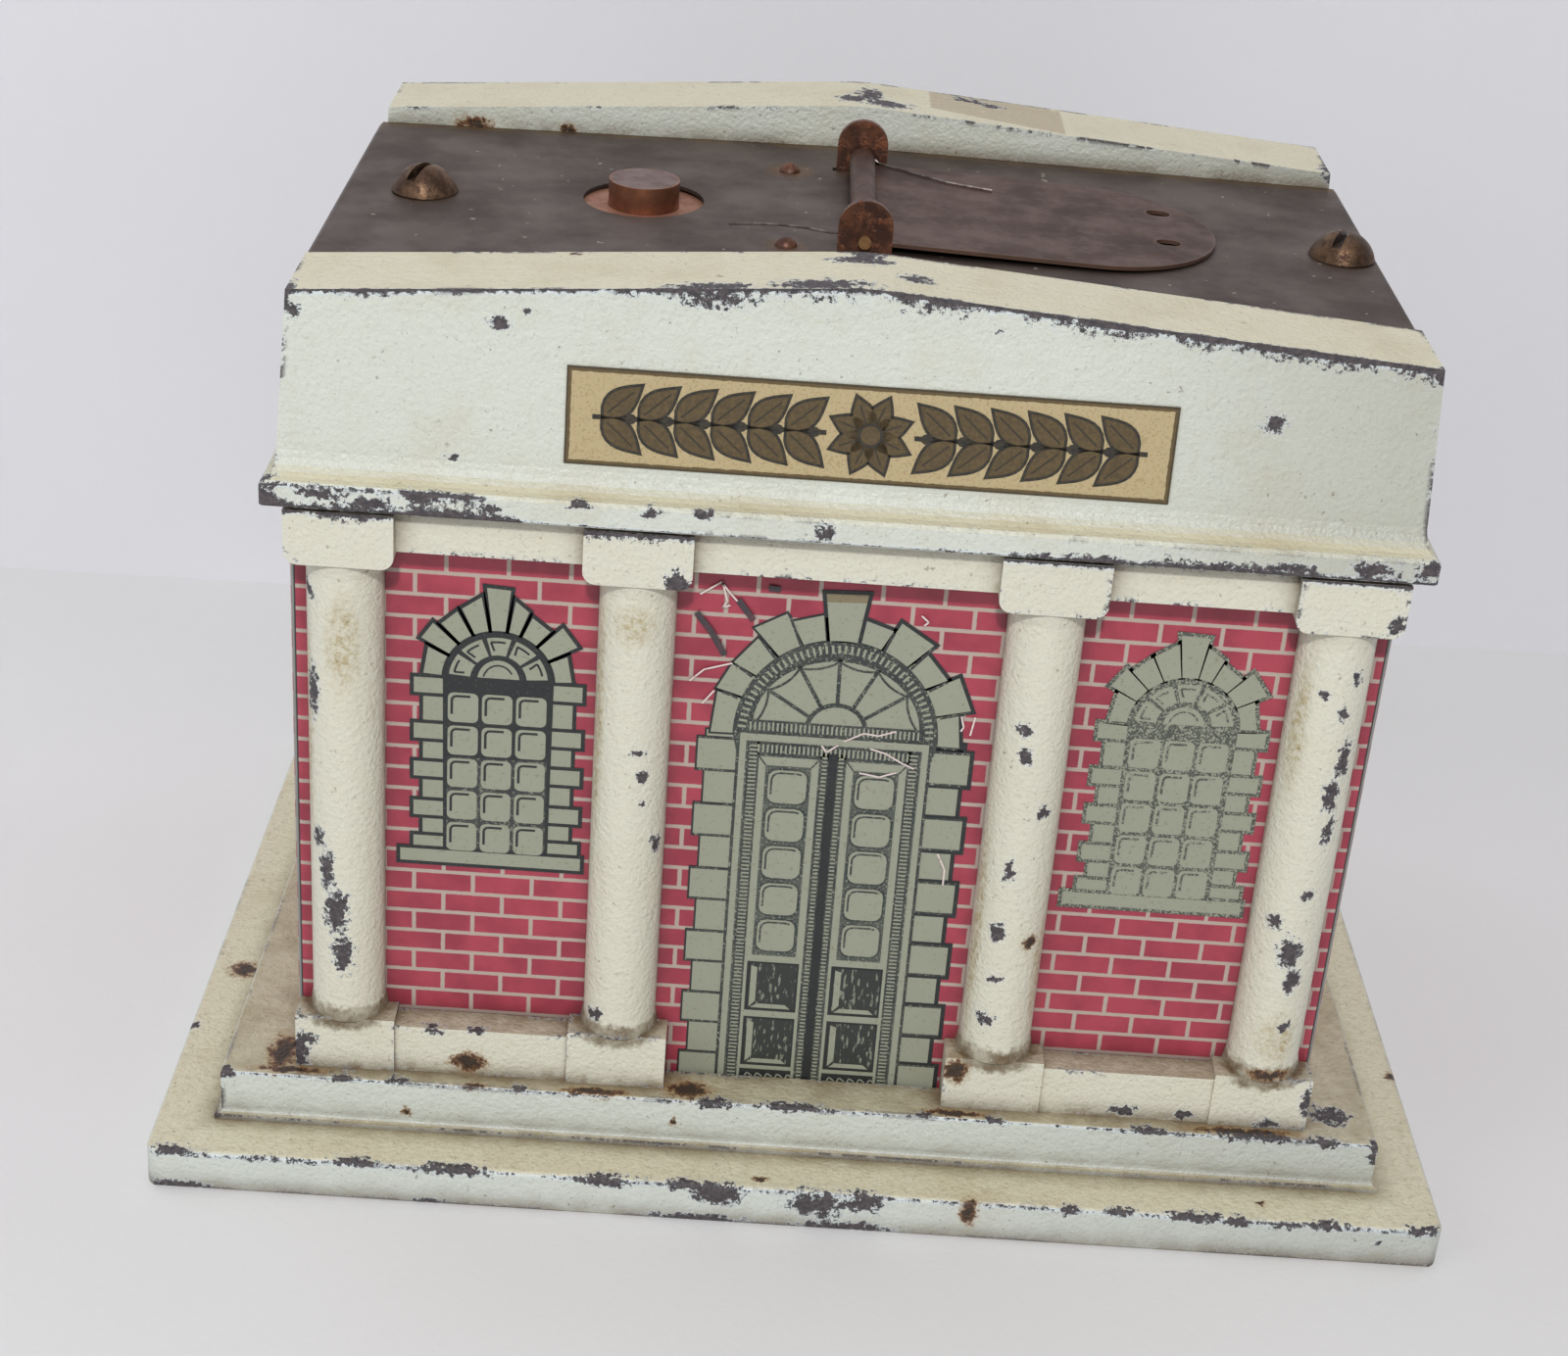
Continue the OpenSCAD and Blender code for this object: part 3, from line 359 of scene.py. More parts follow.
def trodden_and_shaded(tree, paint):
    """Brown dirt on the step, a darker yellow-brown on the slab top along the step's foot, painted light that
    cools the walls, painted shade that darkens them towards the right, and painted shade with dirt in the
    corners.
    """
    x, y, z = tree.parts()
    up = tree.upward()
    wall = tree.minus(1, up)
    # Painted light: a cool tint on the walls.
    paint = tree.mix(tree.times(wall, 0.35), paint, srgb(206, 214, 212))
    # Painted shade: walls darker towards the right end.
    paint = tree.mix(tree.times(wall, tree.times(tree.step(x, 0, 84), 0.35)), paint, srgb(150, 152, 146))
    on_step = tree.times(up, tree.step(z, 12.2, 12.8))
    cloud = tree.step(tree.noise(5, 4, 0.65), 0.3, 0.7)
    paint = tree.mix(tree.times(on_step, tree.blend(cloud, 0.28, 0.62)), paint, srgb(134, 120, 90))
    mottle = tree.times(up, tree.step(tree.noise(1.2, 5, 0.8), 0.46, 0.72))
    paint = tree.mix(tree.times(mottle, 0.35), paint, srgb(150, 136, 104))
    # Painted shade with dirt: corners darkened brown.
    corner = tree.times(tree.crevices(6), tree.blend(cloud, 0.08, 0.5))
    paint = tree.mix(corner, paint, srgb(112, 92, 62))
    # Darker yellow-brown on the slab top towards the step's foot.
    depth = tree.minus(tree.absolute(y), base_high.y - 8.4)
    side = tree.minus(tree.absolute(x), base_high.x - 8.4)
    beyond = tree.largest(depth, side)
    inner = tree.times(tree.step(beyond, 4.5, 0.4), tree.times(up, tree.step(z, 8, 7)))
    return tree.mix(tree.times(inner, tree.blend(cloud, 0.35, 0.7)), paint, srgb(150, 138, 106))


def old_label(tree, paint):
    """Tan remnant of a paper label on top of the rear parapet, and the front's walls darker and greyer towards
    the right end.
    """
    x, y, z = tree.parts()
    skewed = tree.line(x, 0.2, y)
    inside = tree.times(tree.step(x, 9.4, 9.8), tree.step(x, 28.8, 28.4))
    inside = tree.times(inside, tree.times(tree.step(skewed, 38.4, 38.8), tree.step(z, 118, 119)))
    inside = tree.times(inside, tree.times(tree.upward(), tree.step(tree.noise(1.5, 4), 0.25, 0.4)))
    paint = tree.mix(tree.times(inside, 0.62), paint, srgb(160, 140, 106))
    # Darker and greyer towards the right end of the front's walls.
    dull = tree.times(tree.step(x, 20, 68), tree.minus(1, tree.upward()))
    return tree.mix(tree.times(dull, 0.45), paint, srgb(150, 148, 136))


def column_spot(index, turn, height, across, tall):
    """A place on a front column, turn degrees round from its front."""
    angle = math.radians(turn)
    x = COLUMNS[index] + COLUMN_R * math.sin(angle)
    y = COLUMN_Y - COLUMN_R * math.cos(angle)
    return x, y, height, across, tall


def on_column(column, *places):
    """Spots on one column, each an angle, a height and two half sizes."""
    return [column_spot(column, *place) for place in places]


def along(y, *places):
    """Spots that share one y; each place is x and then z and the half sizes."""
    return [(x, y, *rest) for x, *rest in places]


PLINTH_TOP_Z = 20.8
FOOT_REACH = COLUMN_R + 2.2
COLUMN_FEET = [
    (x, side * COLUMN_Y, PLINTH_TOP_Z, FOOT_REACH, 3.0, FOOT_REACH)
    for x in COLUMNS
    for side in (-1, 1)
]
COLUMN_CHIPS = [
    *on_column(
        0,
        (-58, 81.2, 1.2, 1.5), (-50, 68, 1.3, 4.5), (-42, 47.5, 1.2, 1.6), (-26, 43, 1.4, 3.4),
        (-12, 37, 2.0, 4.0), (0, 31, 1.8, 3.4),
    ),
    *on_column(
        1,
        (11, 62.8, 0.9, 0.8), (20, 59.4, 0.8, 1.3), (26, 56, 0.7, 0.7), (52, 49.5, 0.9, 1.6),
        (-40, 23.6, 1.2, 1.2),
    ),
    *on_column(
        2,
        (-18, 69.5, 1.1, 1.2), (-13, 66, 1.1, 1.3), (27, 58.2, 1.2, 1.1), (-15, 49.6, 0.9, 1.8),
        (-22, 40.5, 1.2, 1.8), (-17, 33.4, 1.1, 0.8), (-25, 27, 1.7, 1.1),
    ),
    *on_column(
        3,
        (28, 79.5, 0.9, 1.3), (-17, 77, 1.0, 0.9), (15, 74.7, 1.0, 1.1), (32, 68.5, 1.2, 3.6),
        (22, 63.5, 1.5, 3.2), (28, 58, 1.0, 2.4), (14, 48.9, 1.0, 1.1), (-31, 44.6, 1.3, 1.2),
        (2, 40.5, 2.0, 2.8), (14, 36, 1.6, 2.2), (15, 29, 1.0, 1.1),
    ),
]
COLUMN_GRIME = [
    *on_column(
        0,
        (4, 75, 3.4, 8.5), (-66, 62, 2.0, 22),
    ),
    *on_column(
        1,
        (-62, 66, 1.6, 22), (0, 80, 4.0, 3.6),
    ),
    column_spot(2, -64, 40, 1.6, 22),
    *on_column(
        3,
        (-50, 72, 2.4, 12), (10, 27, 4.0, 5.0),
    ),
    column_spot(2, 60, 34, 2.0, 10),
]
PORTICO_CHIPS = COLUMN_CHIPS + [
    (-19.8, -49.9, 86.2, 2.0, 2.4),
    (65.2, -49.9, 87.3, 1.3, 1.6),
    *along(
        PLINTH_Y,
        (-65.6, 15.3, 1.6, 3.6), (-64.4, 17.4, 1.5, 1.0),
    ),
    *along(
        SILL_Y,
        (-48.4, 19.5, 2.0, 0.7), (-43.0, 19.8, 1.7, 0.6), (42.6, 14.2, 2.6, 0.8),
        (50.0, 14.0, 2.0, 0.7),
    ),
    *along(
        PLINTH_Y,
        (65.9, 17.2, 1.0, 2.8), (61.5, 13.6, 2.4, 0.8),
    ),
]
# Chips along the capitals' top edges, dark also to stand in for the shade gap under the lip: partly painted
# shade.
CAPITAL_WEAR_AND_SHADE = [
    (portico_low.y, portico_high.z, 1.1, 0.35, 1.0, -70, -14),
    (portico_low.y, portico_high.z, 0.8, 0.5, 1.0, -14, 70),
]
PORTICO_RUST = [
    (-43.7, SILL_Y, 14.9, 2.6, 1.9),
    (19.6, PLINTH_Y, 18.8, 2.0, 2.0),
    column_spot(2, 31, 39, 1.2, 1.1),
    column_spot(3, 8, 21.6, 3.4, 0.9),
]
FASCIA_Y = -46.4
CREST_Z = roof_high.z - 0.4
ROOF_CHIPS = [
    *along(
        FASCIA_Y,
        (-41.8, 116.0, 1.7, 1.3), (-38.4, 117.6, 0.9, 0.6), (-46.8, 99.3, 0.8, 0.6),
        (14.9, 118.9, 0.9, 0.6), (29.1, 108.7, 0.9, 0.7), (47.7, 110.1, 2.0, 1.3),
    ),
    (-66.2, -44.6, 117.6, 1.2, 2.6, 2.8),
    (-65.4, -46.0, 115.6, 1.2, 1.2),
    (66.2, -45.5, 117.4, 1.2, 1.6, 1.8),
    *along(
        LIP_Y,
        (-68.6, 94.4, 2.6, 3.0, 4.0), (-62.0, 95.2, 4.0, 0.9), (-56.0, 94.2, 3.0, 1.6),
        (-50.0, 95.6, 3.4, 0.9), (-42.0, 94.8, 1.9, 0.8), (-31.8, 96.0, 1.6, 0.7),
        (-23.3, 95.7, 1.3, 0.8), (-17.2, 95.7, 1.5, 0.8), (-3.0, 94.6, 1.3, 1.6),
        (22.1, 93.3, 1.6, 0.8), (30.1, 93.6, 2.2, 1.0), (42.7, 93.5, 3.0, 0.9), (52.0, 94.0, 3.4, 1.1),
        (61.0, 94.6, 3.0, 1.4), (67.5, 95.0, 1.8, 1.7),
    ),
    (-0.6, -35.2, CREST_Z, 4.6, 2.5, 1.7),
    (-0.3, -33.2, CREST_Z, 2.3, 2.5, 4.2),
    (5.6, -39.8, CREST_Z - 0.3, 2.6, 2.5, 1.7),
    (-5.0, -44.0, CREST_Z - 0.3, 7.6, 2.5, 2.2),
    (-17.6, -44.8, CREST_Z - 1.4, 6.6, 2.5, 1.8),
    (1.0, 38.8, CREST_Z, 2.2, 2.5, 4.6),
    (3.2, 35.4, CREST_Z, 4.4, 2.5, 2.4),
    (-1.4, 36.8, CREST_Z, 3.0, 2.5, 2.0),
    (15.4, 43.4, CREST_Z - 1.2, 3.2, 2.5, 1.5),
    (18.6, 42.2, CREST_Z - 1.4, 2.0, 2.5, 1.4),
    (66.0, 34.4, 117.6, 1.3, 2.0, 2.6),
]
ROOF_RUST = [
    (-54.0, 32.3, 116.5, 2.6, 1.2),
    (-41.0, 32.3, 116.8, 1.3, 0.8),
    (-17.2, -41.2, 121.0, 0.6, 1.0, 0.6),
    (-34.3, -33.1, 120.4, 0.9, 1.0, 0.5),
]
SLAB_Y = base_low.y
BASE_CHIPS = [
    *along(
        SLAB_Y,
        (-80.5, SLAB_Z, 4.0, 1.0), (-56.9, SLAB_Z, 4.0, 0.9), (-44.5, SLAB_Z - 0.3, 6.0, 0.9),
        (-24.6, SLAB_Z - 0.5, 4.6, 1.2), (-10.2, SLAB_Z - 1.2, 4.4, 2.2),
        (-14.0, SLAB_Z - 0.3, 4.0, 1.0), (2.6, SLAB_Z - 2.0, 5.0, 2.4), (8.6, SLAB_Z - 1.2, 3.4, 2.0),
        (35.2, SLAB_Z - 0.4, 1.5, 0.9), (42.1, SLAB_Z - 0.2, 2.6, 0.6), (51.9, SLAB_Z - 0.2, 6.0, 0.8),
        (57.3, SLAB_Z - 0.5, 2.4, 0.9), (68.7, SLAB_Z - 0.2, 3.6, 0.7), (81.6, SLAB_Z, 3.4, 0.9),
        (-80.0, 0.4, 5.0, 1.1), (-47.6, 0.4, 2.4, 0.8), (-12.4, 0.4, 8.0, 1.1), (6.0, 0.5, 8.0, 1.3),
        (75.6, 3.6, 0.6, 0.6),
    ),
    (-77.1, -18.1, SLAB_Z, 1.2, 1.0, 1.2),
    (-83.3, -31.9, SLAB_Z, 1.3, 1.0, 1.0),
    (-75.0, -51.0, STEP_Z - 0.4, 1.6, 1.2),
    *along(
        STEP_Y,
        (-59.8, STEP_Z, 2.2, 0.8), (-52.5, STEP_Z, 1.8, 0.7), (-36.8, STEP_Z, 1.2, 0.5),
        (-11.6, STEP_Z - 0.2, 3.6, 0.8), (-0.9, STEP_Z, 6.0, 0.6), (16.0, STEP_Z, 1.4, 0.6),
        (25.3, STEP_Z, 1.6, 0.6), (45.6, STEP_Z, 3.0, 0.6), (59.5, STEP_Z, 7.0, 0.9),
        (68.4, STEP_Z - 0.2, 3.0, 0.8),
    ),
    (75.2, -51.0, STEP_Z - 0.8, 1.0, 2.4),
    (70.2, -45.5, STEP_Z, 3.4, 1.0, 2.6),
]
BASE_RUST = [
    (-68.4, -46.5, STEP_Z, 2.2, 1.0, 4.6),
    (-14.9, -48.9, STEP_Z, 3.4, 1.2, 2.2),
    (-27.0, -50.6, STEP_Z, 5.0, 1.0, 0.9),
    (-66.4, -50.2, STEP_Z, 5.4, 1.0, 0.8),
    (-42.5, -50.9, STEP_Z, 1.8, 1.0, 0.6),
    (58.0, -50.2, STEP_Z, 8.0, 1.2, 0.9),
    (20.0, -50.2, STEP_Z, 5.0, 1.0, 0.9),
    (22.3, SLAB_Y, SLAB_Z - 1.4, 1.3, 2.6),
    (-51.3, STEP_Y, 8.4, 0.8, 0.7),
    (-16.5, STEP_Y, 9.6, 0.6, 0.7),
    (-4.7, -57.5, SLAB_Z, 1.3, 1.0, 0.6),
    (-79.2, -17.7, SLAB_Z, 2.4, 1.0, 2.2),
    (83.3, -25.4, SLAB_Z, 1.0, 1.0, 1.0),
    (60.5, -55.9, SLAB_Z, 0.8, 1.0, 0.6),
]

# ---------- printed tin ----------

BRICK = srgb(170, 62, 80)
BRICK_DARK = srgb(146, 48, 66)
MORTAR = srgb(178, 162, 152)
PRINT_BLACK = srgb(30, 34, 36)
COURSE = 3.003
COURSE_START = 23.16
BRICK_LENGTH = 7.5
BRICK_START = -51.5
MORTAR_HALF = 0.25


def brick_print():
    """Rows of printed bricks round the tin walls, half a brick out of step from row to row.

    A black line runs down each corner of the front and back. The inside of the walls is plain tin. Painted
    shade darkens the walls next to other pieces.
    """
    tree = Tree("brick_print")
    x, y, z = tree.parts()
    sideways = tree.absolute(tree.parts(tree.node("ShaderNodeTexCoord").outputs["Normal"])[0])
    on_side = tree.step(sideways, 0.6, 0.8)
    along = tree.blend(on_side, x, y)
    wobble = tree.line(tree.noise(0.7, 2), 0.12, -0.06)
    rows = tree.math("DIVIDE", tree.minus(z, COURSE_START), COURSE)
    row = tree.math("FLOOR", rows)
    odd = tree.math("FLOORED_MODULO", row, 2)
    shift = tree.line(odd, -BRICK_LENGTH / 2, BRICK_LENGTH / 2 + BRICK_START)
    bricks = tree.math("DIVIDE", tree.minus(along, shift), BRICK_LENGTH)

    def from_line(value, pitch):
        """Distance in mm from the nearest whole number."""
        return tree.times(tree.math("PINGPONG", value, 0.5), pitch)

    nearest = tree.math("MINIMUM", from_line(rows, COURSE), from_line(bricks, BRICK_LENGTH))
    mortar = tree.step(tree.math("ADD", nearest, wobble), MORTAR_HALF + 0.08, MORTAR_HALF - 0.06)
    red = tree.mix(tree.step(tree.noise(6, 3), 0.3, 0.7), BRICK_DARK, BRICK)
    red = tree.mix(tree.times(tree.step(tree.noise(0.3, 2), 0.55, 0.75), 0.25), red, srgb(120, 40, 52))
    colour = tree.mix(mortar, red, MORTAR)
    line = tree.step(tree.absolute(x), tin_high.x - 0.8, tin_high.x - 0.7)
    line = tree.times(line, tree.minus(1, on_side))
    colour = tree.mix(line, colour, PRINT_BLACK)
    past_x = tree.minus(tree.absolute(x), tin_high.x)
    past_y = tree.minus(tree.absolute(y), tin_high.y)
    inside = tree.step(tree.largest(past_x, past_y), -0.15, -0.25)
    plain_tin = tree.mix(tree.noise(9, 4), srgb(150, 150, 146), srgb(112, 110, 104))
    colour = tree.mix(inside, colour, plain_tin)
    # Painted shade: bricks darkened near other pieces and in inner corners.
    colour = tree.mix(tree.times(tree.crevices(2.5), 0.5), colour, srgb(60, 30, 28))
    rough = tree.blend(tree.noise(5, 3), 0.3, 0.48)
    return tree.finish(colour, rough, 0.0, tree.times(tree.noise(8, 2), 0.05))


def printed(name, ink, other, share, size=0.35):
    """Flat ink on the tin, broken up by specks of the colour under it."""
    tree = Tree(name)
    middle = 0.5 + (0.5 - share) * 0.32
    specks = tree.step(tree.noise(size, 3, 0.7), middle - 0.03, middle + 0.05)
    tone = tree.mix(tree.times(tree.step(tree.noise(4, 3), 0.3, 0.75), 0.12), ink, other)
    colour = tree.mix(specks, tone, other)
    return tree.finish(colour, tree.blend(tree.noise(3, 2), 0.34, 0.5), 0.0)


STONE_COLOUR = srgb(150, 153, 136)
STONE = printed("print_stone", STONE_COLOUR, srgb(134, 132, 112), 0.12, 0.5)
KEYSTONE_TOP = printed("print_ochre", srgb(128, 118, 92), srgb(110, 92, 64), 0.15, 0.5)
BLACK = printed("print_black", PRINT_BLACK, srgb(72, 76, 70), 0.1, 0.3)
WORN_BLACK = printed("print_worn_black", srgb(40, 46, 46), STONE_COLOUR, 0.2, 0.3)
FAINT_BLACK = printed("print_faint_black", srgb(66, 70, 64), STONE_COLOUR, 0.42, 0.28)
SHADE = printed("print_shade", srgb(66, 72, 68), STONE_COLOUR, 0.26, 0.3)
BAR = printed("print_bar", srgb(46, 50, 50), srgb(120, 122, 110), 0.3, 0.4)
SCRATCH = printed("print_scratch", srgb(222, 208, 204), srgb(196, 150, 150), 0.2, 0.4)
PEN = printed("print_pen", srgb(58, 56, 60), srgb(110, 52, 62), 0.25, 0.5)


def grained_print():
    """Dark panels drawn with light grain lines."""
    tree = Tree("print_grain")
    grain = tree.noise(0.34, 2, 0.5, stretch=(1, 1, 3.4))
    colour = tree.mix(tree.times(tree.step(grain, 0.55, 0.68), 0.75), srgb(46, 50, 48), STONE_COLOUR)
    return tree.finish(colour, 0.42, 0.0)


GRAIN = grained_print()
INKS = [STONE, KEYSTONE_TOP, BLACK, WORN_BLACK, FAINT_BLACK, SHADE, BAR, SCRATCH, PEN, GRAIN]
LAYER = 0.018


def flat_shapes(name, points, faces, materials, inks):
    """One object of flat faces, each with the material that its ink number picks."""
    mesh = bpy.data.meshes.new(name)
    mesh.from_pydata(points, [], faces)
    for material in materials:
        mesh.materials.append(material)
    for polygon, ink in zip(mesh.polygons, inks):
        polygon.material_index = ink
    made = bpy.data.objects.new(name, mesh)
    bpy.context.scene.collection.objects.link(made)
    return made


class Print:
    """Printed shapes on a wall, each layer a hair in front of the one under it, gathered into one mesh."""

    def __init__(self):
        self.points = []
        self.faces = []
        self.inks = []

    def shape(self, outline, ink, layer):
        """One closed outline of (x, z) points in mm."""
        outline = anticlockwise(outline)
        first = len(self.points)
        y = TIN_FRONT - (layer + 1) * LAYER
        self.points += [(x * MM, y * MM, z * MM) for x, z in outline]
        self.faces.append(list(range(first, len(self.points))))
        self.inks.append(INKS.index(ink))

    def stroke(self, line, width, ink, layer):
        """A thin line of even width through the points."""
        for (x0, z0), (x1, z1) in zip(line, line[1:]):
            length = math.hypot(x1 - x0, z1 - z0)
            ox, oz = (z0 - z1) / length * width / 2, (x1 - x0) / length * width / 2
            bar = [(x0 + ox, z0 + oz), (x0 - ox, z0 - oz), (x1 - ox, z1 - oz), (x1 + ox, z1 + oz)]
            self.shape(bar, ink, layer)

    def outlined(self, outline, fill, edge, width, layer):
        """A shape with a darker line round it."""
        self.shape(grown(outline, width), edge, layer)
        self.shape(outline, fill, layer + 1)

    def piece(self, name, turn=0.0):
        """The mesh object. The rear wall's print is the same one turned half round."""
        spin = Matrix.Rotation(turn, 3, "Z")
        made = flat_shapes(name, [spin @ Vector(p) for p in self.points], self.faces, INKS, self.inks)
        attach(made, "house")
        return made


def rectangle(x0, x1, z0, z1):
    """Corners of an upright rectangle."""
    return [(x0, z0), (x1, z0), (x1, z1), (x0, z1)]


def on_arc(x, z, across, tall, turn):
    """The point of an ellipse at an angle in degrees."""
    angle = math.radians(turn)
    return x + across * math.cos(angle), z + tall * math.sin(angle)


def arc(x, z, across, tall, start, end, steps):
    """Points on part of an ellipse, angles in degrees."""
    return [on_arc(x, z, across, tall, start + (end - start) * i / steps) for i in range(steps + 1)]


def rounded(x0, x1, z0, z1, r):
    """Corners of an upright rectangle, rounded by r."""
    return (
        arc(x0 + r, z0 + r, r, r, 180, 270, 3)
        + arc(x1 - r, z0 + r, r, r, 270, 360, 3)
        + arc(x1 - r, z1 - r, r, r, 0, 90, 3)
        + arc(x0 + r, z1 - r, r, r, 90, 180, 3)
    )


def anticlockwise(outline):
    """The outline, turned round if it runs clockwise."""
    turned = sum(a[0] * b[1] - b[0] * a[1] for a, b in zip(outline, outline[1:] + outline[:1]))
    return outline[::-1] if turned < 0 else outline


def grown(outline, by):
    """The outline moved outward by an even width, for outlines that run anticlockwise or are turned so."""
    outline = anticlockwise(outline)
    points = []
    for before, here, after in zip(outline[-1:] + outline[:-1], outline, outline[1:] + outline[:1]):
        normals = []
        for a, b in ((before, here), (here, after)):
            length = math.hypot(b[0] - a[0], b[1] - a[1]) or 1.0
            normals.append(((b[1] - a[1]) / length, (a[0] - b[0]) / length))
        mid = (normals[0][0] + normals[1][0], normals[0][1] + normals[1][1])
        size = max(mid[0] ** 2 + mid[1] ** 2, 0.8)
        points.append((here[0] + 2 * by * mid[0] / size, here[1] + 2 * by * mid[1] / size))
    return points


def arch_stone(x, z, inner, start, end, outer_start, outer_end, steps=5):
    """One stone of an arch, curved inside and straight outside."""
    inside = arc(x, z, inner[0], inner[1], start, end, steps)
    outside = [on_arc(x, z, outer_end, outer_end, end), on_arc(x, z, outer_start, outer_start, start)]
    return inside + outside


def draw_window(sheet, mid, ink):
    """A round-headed window, three panes wide and five high, between stones that step in and out."""
    line = 0.5
    hub = 69.0
    ring_out = 6.8
    gap = 0.9 if ink is BLACK else -0.4
    wide, narrow, inner = 10.35, 9.2, 6.6
    # Stones up both sides
    tops = [69.0, 62.6, 57.2, 51.6, 46.5]
    for top in tops:
        for side in (-1, 1):
            block = rectangle(mid + side * inner, mid + side * wide, top - 2.1, top)
            sheet.outlined(block, STONE, ink, line, 2)
    for side in (-1, 1):
        column = rectangle(mid + side * inner, mid + side * narrow, 44.8, hub)
        sheet.outlined(column, STONE, ink, line, 0)
    # Arch stones: angle where each starts and ends, and how far out it reaches there
    stones = [
        (3, 27, 9.0, 9.3),
        (29, 47, 11.0, 11.1),
        (49, 67, 9.6, 9.9),
        (69, 81, 10.4, 11.3),
        (83, 98, 12.6, 12.8),
        (100, 116, 11.6, 10.7),
        (118, 134, 10.6, 10.3),
        (136, 151, 11.0, 10.9),
        (153, 177, 9.6, 9.2),
    ]
    stone_in = (ring_out + 0.2, ring_out + 0.2)
    for start, end, reach_start, reach_end in stones:
        stone = arch_stone(mid, hub, stone_in, start + gap, end - gap, reach_start, reach_end)
        sheet.outlined(stone, STONE, ink, line, 3)
    # Sill
    sheet.outlined(rectangle(mid - 12.0, mid + 10.8, 42.7, 44.5), STONE, ink, line, 4)
    # Opening with its panes
    opening = arc(mid, hub, ring_out, ring_out, 0, 180, 24) + [(mid - inner, 44.9), (mid + inner, 44.9)]
    sheet.shape(opening, ink, 5)
    sheet.shape(rectangle(mid - 6.2, mid + 6.2, 45.0, 58.2), BAR if ink is BLACK else ink, 5.5)
    for column in range(3):
        for row in range(5):
            x0 = mid - 6.15 + 4.2 * column
            top = 67.2 - 4.62 * row
            draw_pane(sheet, x0, x0 + 3.75, top - 4.1, top, ink)
    # Fan: five wedges round a half disc
    sheet.shape(arc(mid, hub + 0.1, 2.6, 2.9, 8, 172, 14), STONE, 6)
    sheet.stroke(arc(mid, hub + 0.1, 1.9, 2.2, 30, 165, 10), 0.22, ink, 7)
    for i in range(5):
        start, end = 7 + 34.4 * i, 7 + 34.4 * i + 28.4
        wedge = arc(mid, hub, 6.1, 6.1, start, end, 5) + arc(mid, hub + 0.1, 3.5, 3.6, end, start, 3)
        sheet.shape(wedge, STONE, 6)
        inset = arc(mid, hub, 5.5, 5.5, end - 4, start + 6, 5)
        edge = [on_arc(mid, hub, 4.3, 4.3, end - 7)]
        sheet.stroke(edge + inset, 0.28, ink, 7)


def draw_pane(sheet, x0, x1, z0, z1, ink):
    """A pane with cut corners and a fine line inside its top and left."""
    sheet.shape(rounded(x0, x1, z0, z1, 0.7), STONE, 6)
    inset = 0.48
    left, top, r = x0 + inset, z1 - inset, 0.55
    line = [(left, z0 + 1.1), (left, top - r)] + arc(left + r, top - r, r, r, 170, 100, 2) + [(x1 - 1.0, top)]
    sheet.stroke(line, 0.32, ink, 7)


DOOR_MID = 0.45
DOOR_HUB = 64.4
DOOR_FOOT = STEP_Z - 1.6


BLOCK_TOP = 63.3
BLOCK_PITCH = 9.45
BLOCK_HEIGHT = 4.5
FRAME_TOP = 63.2
MEETING_TOP = 62.2
LEAF_TOP = 61.2
GLASS_TOP = 60.0
GLASS_HALF = 2.85


